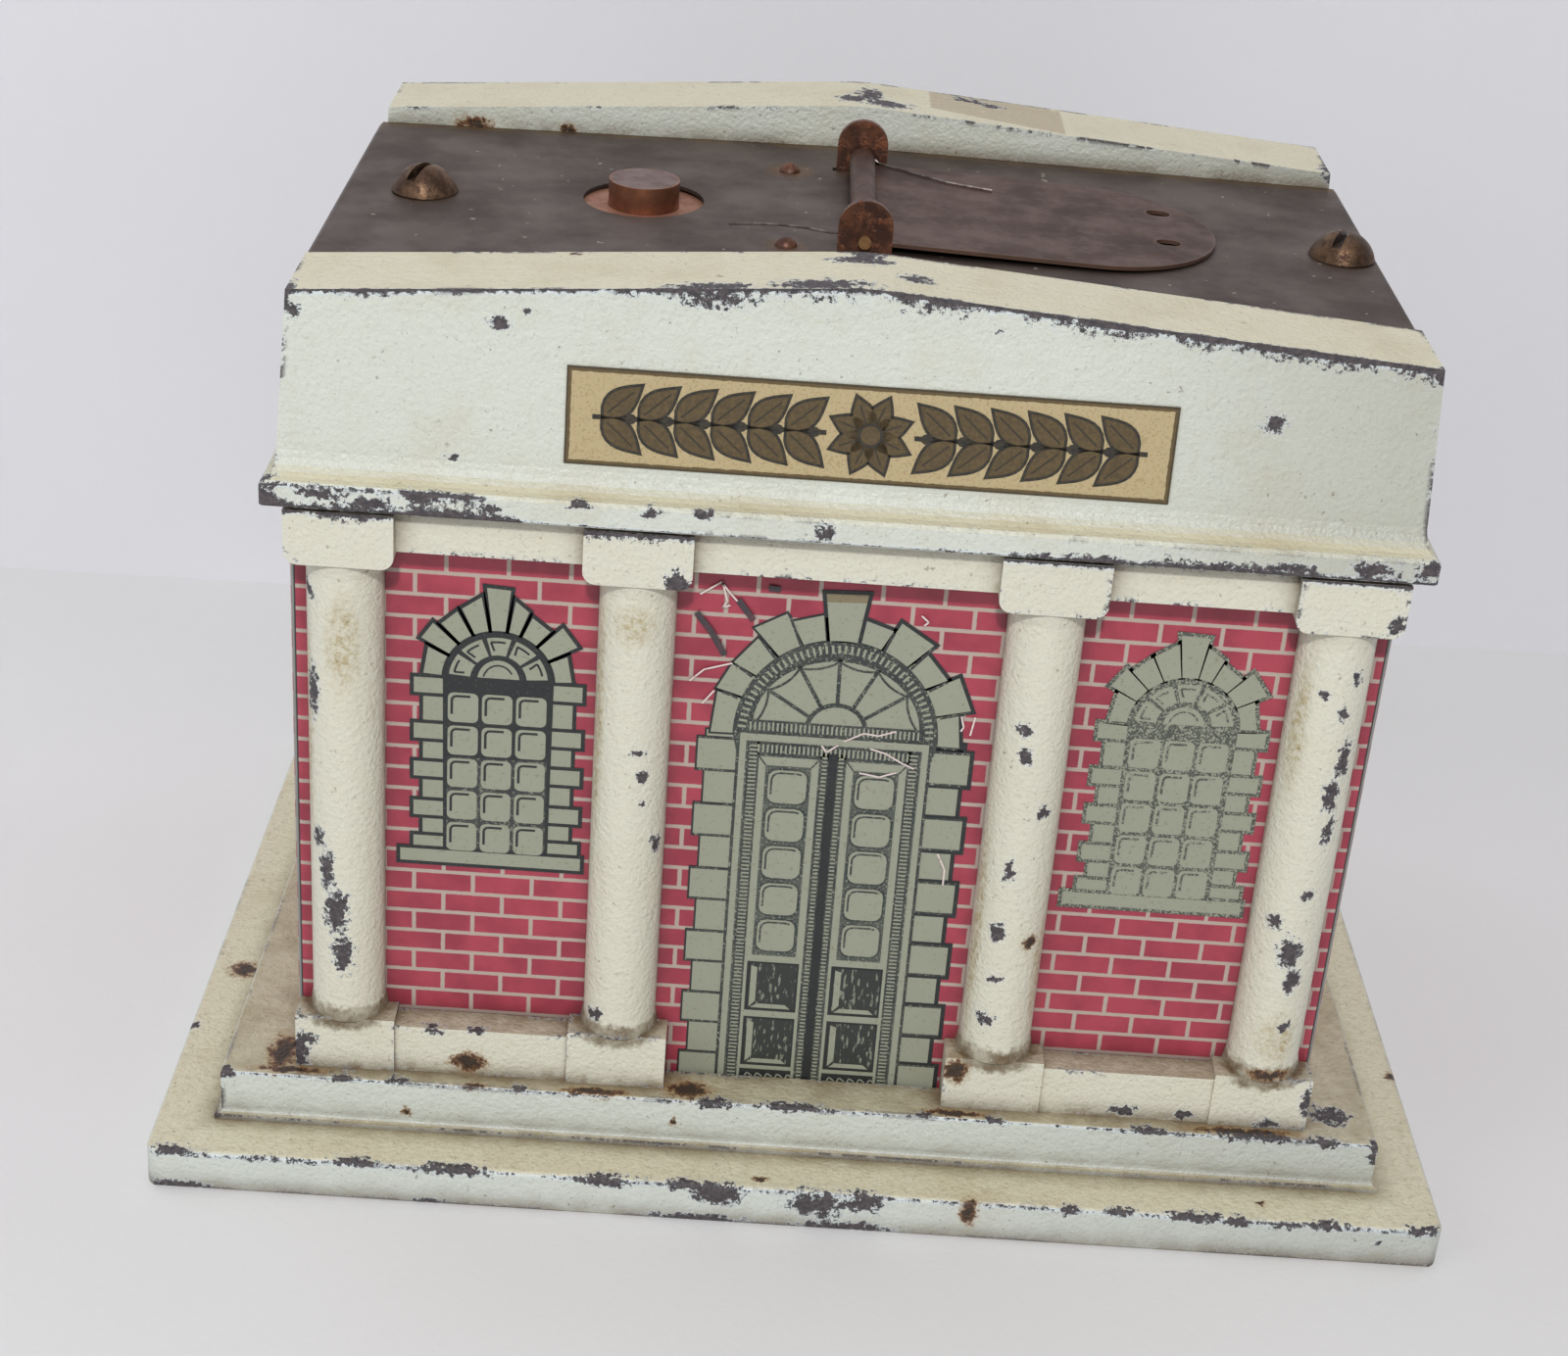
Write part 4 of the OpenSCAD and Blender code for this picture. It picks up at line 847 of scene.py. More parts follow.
def draw_door(sheet):
    """The doorway: stone surround, ribbed arch, fan light and two leaves with panes and panels."""
    mid, hub = DOOR_MID, DOOR_HUB
    inner, narrow, wide = 12.1, 15.85, 16.85
    # Black backing, a little to the right, reads as the drawn shadow of the stones
    for side in (-1, 1):
        shadow = 0.55 if side > 0 else 0.25
        column = rectangle(mid + side * inner, mid + side * narrow, DOOR_FOOT, hub)
        sheet.shape(grown(column, shadow), BLACK, 0)
        sheet.shape(column, STONE, 1)
        for k in range(6):
            top = BLOCK_TOP - BLOCK_PITCH * k
            low = max(top - BLOCK_HEIGHT, DOOR_FOOT)
            block = rectangle(mid + side * inner, mid + side * wide, low, top)
            sheet.shape(grown(block, shadow), BLACK, 2)
            sheet.shape(block, STONE, 3)
            for z in (top, low):
                sheet.stroke([(mid + side * inner, z), (mid + side * wide, z)], 0.3, WORN_BLACK, 4)
    stones = [
        (-1, 16, 15.4, 15.5),
        (17, 33, 17.1, 17.3),
        (34.5, 50, 15.9, 16.1),
        (51, 67, 17.5, 17.7),
        (68.5, 82, 16.3, 16.6),
        (98.5, 112, 16.9, 16.8),
        (113, 127, 18.0, 18.0),
        (128.5, 144, 16.6, 16.2),
        (145, 158.5, 16.2, 16.1),
        (160, 181, 15.8, 15.4),
    ]
    for start, end, reach_start, reach_end in stones:
        stone = arch_stone(mid, hub, (12.7, 13.5), start, end, reach_start, reach_end)
        sheet.shape(grown(stone, 0.5 if start < 90 else 0.28), BLACK, 2)
        sheet.shape(stone, STONE, 3)
        near, far = 13.2, min(reach_start, reach_end) - 0.2
        ends = [on_arc(mid, hub, r, r, start - 0.7) for r in (near, far)]
        sheet.stroke(ends, 0.36, WORN_BLACK, 4)
    key = [(mid - 1.6, hub + 13.2), (mid + 1.7, hub + 13.2), (mid + 2.6, hub + 19.8), (mid - 2.5, hub + 19.6)]
    sheet.shape(grown(key, 0.5), BLACK, 4)
    sheet.shape(key, STONE, 5)
    sheet.shape([key[3], key[2], (mid + 2.45, hub + 18.7), (mid - 2.35, hub + 18.5)], KEYSTONE_TOP, 6)
    # Arch ring with radial ribs, then the fan light
    sheet.shape(arc(mid, hub, 12.7, 13.4, 0, 180, 40) + [(mid - 12.2, 62), (mid + 12.2, 62)], WORN_BLACK, 5)
    for i in range(46):
        turn = 2 + 176 * (i + 0.5) / 46
        band = arc(mid, hub, 12.1, 12.8, turn - 0.75, turn + 0.75, 1)
        band += arc(mid, hub, 11.1, 11.7, turn + 0.75, turn - 0.75, 1)
        sheet.shape(band, STONE, 6)
    sheet.shape(arc(mid, hub + 1.2, 10.6, 9.7, 0, 180, 30), STONE, 6)
    sheet.stroke(arc(mid, hub + 1.2, 10.5, 9.6, 0, 180, 30), 0.4, WORN_BLACK, 7)
    spokes = (147, 119, 91, 63.5, 35.5)
    for turn in spokes:
        sheet.stroke([on_arc(mid, hub + 0.5, r, r, turn) for r in (4.2, 10.4)], 0.5, WORN_BLACK, 7)
    for start, end in zip((178,) + spokes, spokes + (4,)):
        ends = [on_arc(mid, hub + 0.7, 10.3, 9.9, t) for t in (start, end)]
        sag = on_arc(mid, hub + 0.7, 8.9, 8.6, (start + end) / 2)
        curve = [bezier(ends[0], sag, ends[1], i / 6) for i in range(7)]
        sheet.stroke(curve, 0.3, WORN_BLACK, 8)
    sheet.shape(arc(mid, hub + 1.2, 3.9, 3.7, 0, 180, 16), WORN_BLACK, 8)
    sheet.shape(arc(mid, hub + 1.2, 3.3, 3.1, 0, 180, 16), STONE, 9)
    # Frame round the two leaves
    sheet.shape(rectangle(mid - 12.1, mid + 12.1, DOOR_FOOT, hub), WORN_BLACK, 6)
    sheet.shape(rectangle(mid - 11.7, mid + 11.7, DOOR_FOOT, hub - 0.1), STONE, 7)
    sheet.shape(rectangle(mid - 10.9, mid + 10.9, DOOR_FOOT, hub - 1.1), SHADE, 8)
    layered_ribs(sheet, mid - 10.8, mid + 10.8, hub + 0.1, hub + 1.9, False, 10)
    layered_ribs(sheet, mid - 9.6, mid + 9.6, 61.4, FRAME_TOP, False, 9)
    for side in (-1, 1):
        x0, x1 = sorted((mid + side * 10.7, mid + side * 9.2))
        layered_ribs(sheet, x0, x1, DOOR_FOOT, FRAME_TOP, True, 9)
        x0, x1 = sorted((mid + side * 1.6, mid + side * 0.45))
        layered_ribs(sheet, x0, x1, DOOR_FOOT, MEETING_TOP, True, 9)
    sheet.shape(rectangle(mid - 0.55, mid + 0.55, DOOR_FOOT, MEETING_TOP), BLACK, 11)
    for side in (-1, 1):
        draw_leaf(sheet, mid + side * 5.45)


def bezier(start, pull, end, share):
    """A point on the curve from start to end that is pulled towards a third point."""
    back = 1 - share
    near, middle, far = back * back, 2 * back * share, share * share
    return tuple(near * a + middle * b + far * c for a, b, c in zip(start, pull, end))


def layered_ribs(sheet, x0, x1, z0, z1, upright, layer):
    """A dark band crossed by short light ribs, drawn at a chosen layer."""
    sheet.shape(rectangle(x0, x1, z0, z1), WORN_BLACK, layer)
    pitch = 0.56
    count = int(((z1 - z0) if upright else (x1 - x0)) / pitch)
    for i in range(count):
        if upright:
            z = z0 + pitch * (i + 0.5)
            bar = rectangle(x0 + 0.25, x1 - 0.25, z - 0.12, z + 0.12)
        else:
            x = x0 + pitch * (i + 0.5)
            bar = rectangle(x - 0.12, x + 0.12, z0 + 0.35, z1 - 0.3)
        sheet.shape(bar, STONE, layer + 1)


def draw_leaf(sheet, mid):
    """One leaf of the door: a light frame, five panes, two grained panels and a carved strip at the foot."""
    half = 3.75
    sheet.shape(rectangle(mid - half, mid + half, DOOR_FOOT, LEAF_TOP), STONE, 9)
    sheet.shape(rectangle(mid - GLASS_HALF, mid + GLASS_HALF, 31.9, GLASS_TOP), SHADE, 10)
    for side in (-1, 1):
        mitre = [(mid + side * half, LEAF_TOP), (mid + side * GLASS_HALF, GLASS_TOP)]
        sheet.stroke(mitre, 0.2, WORN_BLACK, 11)
    for i in range(5):
        top = 59.4 - 5.5 * i
        pane = rounded(mid - 2.4, mid + 2.4, top - 4.7, top, 1.1)
        sheet.shape(grown(pane, 0.28), WORN_BLACK, 11)
        sheet.shape(pane, STONE, 12)
        inner = rounded(mid - 2.0, mid + 2.2, top - 4.5, top - 0.4, 1.0)
        sheet.stroke(inner[10:] + inner[:1], 0.26, WORN_BLACK, 13)
    for low, high in ((23.3, 30.9), (14.6, 22.3)):
        sheet.shape(rectangle(mid - 3.35, mid + 3.35, low, high), BLACK, 10)
        sheet.shape(rectangle(mid - 2.9, mid + 3.1, low + 0.5, high - 0.3), GRAIN, 11)
        left = [(-2.8, low + 0.6), (-2.0, low + 1.5), (-2.0, high - 0.9), (-2.8, high - 0.6)]
        foot = [(-2.6, low + 0.45), (2.6, low + 0.45), (1.9, low + 1.1), (-1.8, low + 1.1)]
        for outline in (left, foot):
            sheet.shape([(mid + x, z) for x, z in outline], STONE, 12)
    sheet.shape(rectangle(mid - 3.4, mid + 3.4, DOOR_FOOT, 14.0), BLACK, 12)
    for i in range(5):
        x = mid - 2.9 + 1.35 * i
        sheet.stroke([(x, 12.4), (x + 0.5, 13.4), (x + 1.2, 12.9)], 0.2, STONE, 13)


PEN_STROKES = [
    [(-17.5, 80.4), (-15.6, 78.0), (-13.8, 74.9)],
    [(-12.6, 82.5), (-10.6, 79.9)],
    [(-9.0, 84.3), (-7.6, 84.2)],
]
SCRATCHES = [
    [(-17.2, 82.9), (-14.7, 84.7), (-13.7, 83.4), (-12.7, 82.3)],
    [(-14.6, 84.7), (-13.9, 82.2), (-14.4, 81.3), (-13.5, 81.7)],
    [(-17.9, 71.1), (-16.2, 72.8), (-12.8, 73.9)],
    [(-16.2, 68.1), (-14.8, 70.0)],
    [(9.6, 82.0), (10.5, 81.2), (10.0, 80.7)],
    [(17.4, 68.7), (17.0, 66.1)],
    [(15.7, 68.7), (16.1, 67.2), (15.8, 66.6)],
    [(1.6, 64.1), (3.9, 65.4), (5.8, 65.2), (7.9, 66.0)],
    [(-1.1, 63.3), (-0.5, 62.4), (0.9, 63.5)],
    [(4.9, 63.3), (6.8, 62.8), (9.1, 61.5), (10.5, 60.9)],
    [(3.8, 59.8), (6.3, 59.4), (8.4, 60.2)],
    [(14.6, 48.9), (15.7, 46.6), (15.7, 44.3)],
]


def draw_wall(worn):
    """Both windows and the door. Only the front wall carries the pen marks and scratches."""
    sheet = Print()
    draw_window(sheet, -41.25, BLACK)
    draw_window(sheet, 43.0, FAINT_BLACK)
    draw_door(sheet)
    if worn:
        for line in PEN_STROKES:
            sheet.stroke(line, 0.75, PEN, 15)
        for line in SCRATCHES:
            sheet.stroke(line, 0.22, SCRATCH, 16)
    return sheet


draw_wall(True).piece("front_print")
draw_wall(False).piece("rear_print", math.pi)


# ---------- transfer on the fascia ----------

GOLD = srgb(94, 78, 48)
TRANSFER_GROUND = srgb(182, 165, 126)
TRANSFER_LEAN = math.atan(1.2 / 18.2)


def transfer_ground():
    """Cream ground of the transfer, speckled with brown, with a dark gold line near its rim."""
    tree = Tree("transfer_ground")
    x, _, z = tree.parts()
    speckle = tree.step(tree.noise(0.32, 2, 0.6), 0.52, 0.66)
    colour = tree.mix(tree.times(speckle, 0.45), TRANSFER_GROUND, srgb(150, 122, 82))
    mid_x, mid_z = (label_low.x + label_high.x) / 2, (label_low.z + label_high.z) / 2
    inset_x = tree.minus(label_high.x - mid_x, tree.absolute(tree.minus(x, mid_x)))
    inset_z = tree.minus(label_high.z - mid_z, tree.absolute(tree.minus(z, mid_z)))
    inset = tree.math("MINIMUM", inset_x, inset_z)
    ragged = tree.line(tree.noise(0.8, 3), 0.3, tree.minus(inset, 0.15))
    colour = tree.mix(tree.step(ragged, 0.62, 0.5), colour, GOLD)
    colour = tree.mix(tree.step(ragged, 0.26, 0.16), colour, srgb(66, 56, 36))
    return tree.finish(colour, tree.blend(speckle, 0.5, 0.62), 0.0, tree.times(speckle, 0.02))


def transfer_ink(name, tone, other):
    """Ink of the transfer, two close tones in fine clouds."""
    tree = Tree(name)
    colour = tree.mix(tree.step(tree.noise(0.5, 3), 0.35, 0.65), tone, other)
    return tree.finish(colour, 0.45, 0.0, tree.times(tree.noise(0.4, 2), 0.02))


def ornament():
    """A band of laurel leaves running in from both ends to a rosette, dark gold with a black edge."""
    gold = transfer_ink("transfer_gold", GOLD, srgb(78, 64, 40))
    black = transfer_ink("transfer_black", srgb(36, 34, 30), srgb(58, 52, 40))
    points, faces, inks = [], [], []

    def shape(outline, ink, layer):
        """One closed outline of (across, up) points in mm."""
        first = len(points)
        points.extend((u, -layer * LAYER, v) for u, v in outline)
        faces.append(list(range(first, len(points))))
        inks.append(ink)

    def edged(outline, layer=1):
        """A gold shape with a black edge."""
        shape(grown(outline, 0.36), 1, layer)
        shape(outline, 0, layer + 1)

    def leaf(u, v, turn, length, width):
        """A pointed leaf that grows from (u, v)."""
        c, s = math.cos(math.radians(turn)), math.sin(math.radians(turn))
        side = [(length * i / 8, width / 2 * math.sin(math.pi * (i / 8) ** 0.8)) for i in range(9)]
        outline = side[:-1] + [(a, -b) for a, b in side[:0:-1]]
        edged([(u + a * c - b * s, v + a * s + b * c) for a, b in outline[::-1]])
        vein = [(0.6, -0.09), (length - 1, -0.09), (length - 1, 0.09), (0.6, 0.09)]
        shape([(u + a * c - b * s, v + a * s + b * c) for a, b in vein], 1, 3)

    reach = (label_high.x - label_low.x) / 2 - 3.2
    for side in (-1, 1):
        shape(grown(rectangle(*sorted((side * 5.2, side * reach)), -0.2, 0.2), 0.1), 1, 1)
        for i in range(6):
            u = side * (reach - 1.2 - 4.25 * i)
            inward = 180 if side > 0 else 0
            for lift in (-1, 1):
                leaf(u, lift * 0.2, inward - side * lift * 42, 5.6, 2.9)
            shape(arc(u - side * 3.2, 0, 0.62, 0.62, 0, 330, 11), 1, 3)
    for i in range(8):
        leaf(0, 0, 22.5 + 45 * i, 4.8, 2.7)
    shape(arc(0, 0, 1.5, 1.5, 0, 345, 23), 1, 4)
    shape(arc(0, 0, 1.15, 1.15, 0, 345, 23), 0, 5)

    lean = Matrix.Rotation(-TRANSFER_LEAN, 4, "X")
    centre = Vector(((label_low.x + label_high.x) / 2, 0, (label_low.z + label_high.z) / 2))
    centre.y = (label_low.y + label_high.y) / 2 - 0.09
    placed = [(lean @ Vector(p) + centre) * MM for p in points]
    made = flat_shapes("fascia_ornament", placed, faces, (gold, black), inks)
    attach(made, "house")


ornament()


# ---------- bare and plated metals ----------


def metal(name, light, dark, rough, grain=(1, 1, 1), size=5.0, shine=0.85, edge_rub_and_highlight=0.0, top=None):
    """Bare metal with cloudy tarnish, fine scratches along the grain, and edges lightened if asked, standing
    in for rubbing and for a painted highlight.
    """
    tree = Tree(name)
    tarnish = tree.step(tree.noise(size, 4, 0.6), 0.32, 0.72)
    fine = tree.noise(0.25, 3, 0.6, stretch=tuple(4 * g for g in grain))
    colour = tree.mix(tarnish, light, dark)
    if top:
        colour = tree.mix(tree.times(tree.upward(), 0.85), colour, top)
    colour = tree.mix(tree.times(tree.step(fine, 0.45, 0.75), 0.25), colour, dark)
    # Painted highlight with rubbing: edges turned towards the light tone.
    if edge_rub_and_highlight:
        colour = tree.mix(tree.times(tree.edges(0.5), edge_rub_and_highlight), colour, light)
    roughness = tree.blend(tarnish, rough, min(0.95, rough + 0.22))
    return tree.finish(colour, roughness, shine, tree.times(fine, 0.03))


PLATE_STAINS = [
    (-9.7, 18.9, 117.0, 4.5, 4.0, 4.5),
    (-9.7, -13.4, 117.0, 3.6, 4.0, 4.0),
    (0.0, 21.0, 117.0, 5.0, 4.0, 4.5),
    (0.0, -15.5, 117.0, 5.0, 4.0, 4.0),
    (-56.8, 1.2, 116.1, 6.4, 4.0, 6.4),
    (62.6, 0.5, 116.0, 6.4, 4.0, 6.4),
]


def roof_sheet():
    """Dark bronze-brown sheet, smudged and dusty, with rusty halos along the castings and rivets, painted
    shade in its corners and a painted highlight along its end edges.
    """
    tree = Tree("roof_sheet")
    x, y = tree.parts()[:2]
    smudge = tree.step(tree.noise(13, 4, 0.6), 0.3, 0.7)
    fine = tree.noise(0.5, 4, 0.65)
    colour = tree.mix(smudge, srgb(92, 79, 72), srgb(68, 56, 51))
    colour = tree.mix(tree.times(tree.step(fine, 0.4, 0.8), 0.3), colour, srgb(102, 90, 80))
    rim = tree.step(tree.absolute(y), plate_high.y - 2.4, plate_high.y + 0.1)
    halo = tree.times(tree.times(rim, tree.step(tree.noise(5, 3), 0.3, 0.6)), 0.8)
    colour = tree.mix(halo, colour, srgb(122, 96, 54))
    ring = tree.times(tree.step(tree.spots(PLATE_STAINS), 0.0, 0.9), 0.6)
    colour = tree.mix(ring, colour, srgb(128, 92, 58))
    dust = tree.step(tree.noise(1.3, 1, 0.4), 0.765, 0.79)
    colour = tree.mix(tree.times(dust, 0.6), colour, srgb(190, 180, 170))
    # Painted shade: corners and joints to the castings darkened.
    colour = tree.mix(tree.times(tree.crevices(1.6), 0.8), colour, srgb(30, 24, 20))
    # Painted highlight: a grey line along the sheet's end edges.
    edge = tree.times(tree.edges(0.35), tree.step(tree.absolute(x), 66.6, 67.2))
    colour = tree.mix(tree.times(edge, 0.7), colour, srgb(138, 142, 142))
    rough = tree.blend(smudge, 0.45, 0.62)
    return tree.finish(colour, rough, 0.45, tree.times(fine, 0.025))


def copper_flap():
    """Copper-brown flap, mottled by tarnish, with its rim worn bright."""
    tree = Tree("copper_flap")
    mottle = tree.step(tree.noise(6, 5, 0.65), 0.3, 0.72)
    fine = tree.noise(0.5, 4, 0.65)
    colour = tree.mix(mottle, srgb(96, 68, 56), srgb(64, 48, 42))
    colour = tree.mix(tree.times(tree.step(tree.noise(3, 3), 0.55, 0.75), 0.5), colour, srgb(106, 66, 52))
    colour = tree.mix(tree.times(tree.step(fine, 0.45, 0.75), 0.22), colour, srgb(60, 50, 48))
    colour = tree.mix(tree.times(tree.edges(0.4), 0.4), colour, srgb(130, 104, 88))
    return tree.finish(colour, tree.blend(mottle, 0.42, 0.6), 0.5, tree.times(fine, 0.03))


def rusty_metal(name, light, dark, rust, shine=0.5):
    """Copper-plated iron with brown and orange rust in blotches, and painted shade in its inner corners."""
    tree = Tree(name)
    blotch = tree.noise(2.2, 5, 0.65)
    fine = tree.noise(0.35, 3, 0.6)
    colour = tree.mix(tree.step(blotch, 0.35, 0.6), light, dark)
    rusted = tree.step(tree.noise(1.4, 4, 0.7), 0.52, 0.68)
    colour = tree.mix(tree.times(rusted, 0.8), colour, rust)
    colour = tree.mix(tree.times(tree.edges(0.5), 0.35), colour, light)
    # Painted shade: inner corners and joints darkened near black.
    colour = tree.mix(tree.times(tree.crevices(1.5), 0.75), colour, srgb(34, 24, 18))
    rough = tree.blend(rusted, 0.42, 0.8)
    metallic = tree.blend(rusted, shine, 0.1)
    height = tree.line(rusted, 0.05, tree.times(fine, 0.05))
    return tree.finish(colour, rough, metallic, height)


# ---------- board, card, wood, wire ----------


def wound_wire():
    """Enamelled wire in close turns round the coil, each turn painted with a highlight on its crest and shade
    between turns.
    """
    tree = Tree("wound_wire")
    z = tree.parts()[2]
    waver = tree.times(tree.noise(3, 2), 0.3)
    turns = tree.math("PINGPONG", tree.line(z, 2.2, waver), 0.5)
    # Painted highlight and shade across each turn.
    shade = tree.step(turns, 0.0, 0.5)
    colour = tree.mix(shade, srgb(20, 40, 24), srgb(62, 98, 60))
    return tree.finish(colour, tree.blend(shade, 0.5, 0.25), 0.0, tree.times(turns, 0.35))


def braided_lead():
    """Cloth braid over wire: two crossing sets of threads."""
    tree = Tree("braided_lead")
    x, y, z = tree.parts()
    together = tree.total(x, z, y)
    difference = tree.minus(tree.math("ADD", x, y), z)
    first = tree.math("PINGPONG", tree.times(together, 1.6), 0.5)
    second = tree.math("PINGPONG", tree.times(difference, 1.6), 0.5)
    weave = tree.largest(first, second)
    colour = tree.mix(tree.step(weave, 0.15, 0.5), srgb(52, 58, 36), srgb(118, 122, 84))
    colour = tree.mix(tree.step(tree.noise(4, 3), 0.45, 0.8), colour, srgb(140, 128, 88))
    return tree.finish(colour, 0.85, 0.0, tree.times(weave, 0.2))


def pressed_fibre():
    """Dark red-brown fibre board with short mixed fibres."""
    tree = Tree("pressed_fibre")
    threads = tree.noise(0.6, 4, 0.7, stretch=(1, 3, 1))
    colour = tree.mix(tree.step(threads, 0.35, 0.7), srgb(118, 66, 46), srgb(78, 42, 32))
    colour = tree.mix(tree.times(tree.edges(0.6), 0.4), colour, srgb(142, 92, 66))
    return tree.finish(colour, tree.blend(threads, 0.5, 0.75), 0.0, tree.times(threads, 0.08))


def softwood():
    """Pine board with long grain and growth rings."""
    tree = Tree("softwood")
    x = tree.parts()[0]
    waver = tree.noise(9, 3, 0.5, stretch=(1, 6, 1))
    rings = tree.math("PINGPONG", tree.line(waver, 5.0, tree.times(x, 0.22)), 0.5)
    fibre = tree.noise(0.5, 4, 0.6, stretch=(1, 14, 1))
    colour = tree.mix(tree.step(rings, 0.1, 0.5), srgb(150, 108, 66), srgb(196, 158, 108))
    colour = tree.mix(tree.times(tree.step(fibre, 0.45, 0.75), 0.4), colour, srgb(126, 90, 56))
    return tree.finish(colour, tree.blend(fibre, 0.55, 0.8), 0.0, tree.times(fibre, 0.12))


def card_sleeve():
    """Kraft card round the dry cell, scuffed, with a plain darker band at each end."""
    tree = Tree("card_sleeve")
    low, high = box_mm("dry_cell")
    z = tree.parts()[2]
    fibre = tree.noise(0.7, 4, 0.7)
    colour = tree.mix(tree.step(fibre, 0.35, 0.7), srgb(182, 150, 104), srgb(158, 126, 82))
    from_mid = tree.absolute(tree.minus(z, (low.z + high.z) / 2))
    band = tree.step(from_mid, (high.z - low.z) / 2 - 8.2, (high.z - low.z) / 2 - 8.0)
    colour = tree.mix(tree.times(band, 0.75), colour, srgb(88, 54, 44))
    colour = tree.mix(tree.times(tree.edges(1.2), 0.5), colour, srgb(206, 184, 146))
    return tree.finish(colour, 0.8, 0.0, tree.times(fibre, 0.08))


# ---------- every CAD node gets its material ----------

BRASS_LIGHT, BRASS_DARK = srgb(206, 172, 98), srgb(140, 104, 56)
STEEL_LIGHT, STEEL_DARK = srgb(176, 174, 170), srgb(112, 108, 104)

ROOF_EDGES = [
    (FASCIA_TOP_Y, gable_z, 0.75, 0.5, 1.5, -200, 4),
    (FASCIA_TOP_Y, gable_z, 1.1, 0.35, 1.5, 0, 200),
    (LIP_Y, roof_low.z, 0.8, 0.5),
    (LIP_Y, roof_low.z, 2.0, 0.34, 1.0, -200, -36),
    (LIP_Y, roof_low.z + 3.2, 1.5, 0.38, 1.0, -200, -40),
    (LIP_Y, roof_low.z, 1.5, 0.4, 1.0, 16, 200),
]
SLAB_EDGE = (SLAB_Y, SLAB_Z, 1.2, 0.5, 1.2)
STEP_EDGE = (STEP_Y, STEP_Z, 0.8, 0.52, 1.0)
paint_front = cast_paint(
    "paint_portico_front", PORTICO_CHIPS, PORTICO_RUST, 0.9, extra=column_grime, lines=CAPITAL_WEAR_AND_SHADE
)
paint_rear = cast_paint("paint_portico_rear", [], [], 1.15, extra=column_grime)
paint_roof = cast_paint("paint_roof", ROOF_CHIPS, ROOF_RUST, 1.5, extra=old_label, lines=ROOF_EDGES)
paint_base = cast_paint("paint_base", BASE_CHIPS, BASE_RUST, 1.5, 0.02, [SLAB_EDGE, STEP_EDGE], trodden_and_shaded)
brass = metal("satin_brass", BRASS_LIGHT, BRASS_DARK, 0.3, edge_rub_and_highlight=0.4)
spring_brass = metal("spring_brass", srgb(214, 180, 104), BRASS_DARK, 0.26, grain=(1, 1, 6))
steel = metal("plain_steel", STEEL_LIGHT, STEEL_DARK, 0.34)
tinplate = metal("tinplate", srgb(184, 184, 180), srgb(132, 130, 126), 0.3, grain=(1, 5, 1), size=14)
dull_sheet = metal(
    "dull_sheet", srgb(146, 140, 132), srgb(98, 90, 82), 0.45, grain=(5, 1, 1), size=11, edge_rub_and_highlight=0.3
)
yoke_iron = metal("yoke_iron", srgb(120, 116, 114), srgb(80, 74, 72), 0.5, size=6, edge_rub_and_highlight=0.3)
spring_wire = metal("spring_wire", srgb(132, 122, 116), srgb(78, 66, 60), 0.4, size=2)
pin_metal = metal("pin_metal", srgb(190, 152, 108), srgb(140, 102, 68), 0.4, size=2)
pole_iron = metal(
    "pole_iron", srgb(172, 118, 90), srgb(124, 82, 62), 0.3, size=3, edge_rub_and_highlight=0.6, top=srgb(112, 96, 92)
)
disc_copper = metal("disc_copper", srgb(170, 124, 102), srgb(140, 98, 80), 0.5, size=4, shine=0.55)
screw_metal = rusty_metal("tie_screw_metal", srgb(114, 88, 66), srgb(74, 55, 42), srgb(88, 56, 40), 0.75)
bracket_metal = rusty_metal("bracket_metal", srgb(112, 72, 52), srgb(72, 47, 38), srgb(124, 70, 38), 0.4)
fibre_board = pressed_fibre()
braid = braided_lead()

MATERIALS = {
    "base_casting": paint_base,
    "front_portico": paint_front,
    "rear_portico": paint_rear,
    "tin_body": brick_print(),
    "roof_casting": paint_roof,
    "sign_label": transfer_ground(),
    "roof_plate": roof_sheet(),
    "tie_screws": screw_metal,
    "tie_nuts": steel,
    "trap_bracket": bracket_metal,
    "bracket_rivets": bracket_metal,
    "trap_pin": pin_metal,
    "coin_trap": copper_flap(),
    "trap_spring": spring_wire,
    "magnet_yoke": yoke_iron,
    "magnet_core": pole_iron,
    "core_nut": brass,
    "pole_disc": disc_copper,
    "coil_bobbin": fibre_board,
    "coil_winding": wound_wire(),
    "partition": tinplate,
    "contact_board": fibre_board,
    "board_screws": brass,
    "reed_foot": brass,
    "contact_reed": spring_brass,
    "contact_post": brass,
    "contact_screw": steel,
    "dry_cell": card_sleeve(),
    "cell_cap": brass,
    "battery_board": softwood(),
    "lower_contact": spring_brass,
    "upper_contact": spring_brass,
    "cell_lead": braid,
    "coil_lead": braid,
    "reed_lead": braid,
    "bottom_cover": dull_sheet,
    "cover_screws": steel,
    "coin_door": dull_sheet,
    "door_pin": steel,
    "door_catch": spring_brass,
}

for name, node in nodes.items():
    node.data.materials.clear()
    node.data.materials.append(MATERIALS[name])


# ---------- soft edges on the castings ----------


def soften(name, width):
    """Rounds the sharp edges of a cast piece by width mm, inside its CAD shape."""
    bevel = nodes[name].modifiers.new("soft_edges", "BEVEL")
    bevel.width = width * MM
    bevel.segments = 3
    bevel.limit_method = "ANGLE"
    bevel.angle_limit = math.radians(50)
    bevel.harden_normals = False


for name in ("front_portico", "rear_portico"):
    soften(name, 0.55)


# ---------- floor, backdrop, light and camera ----------


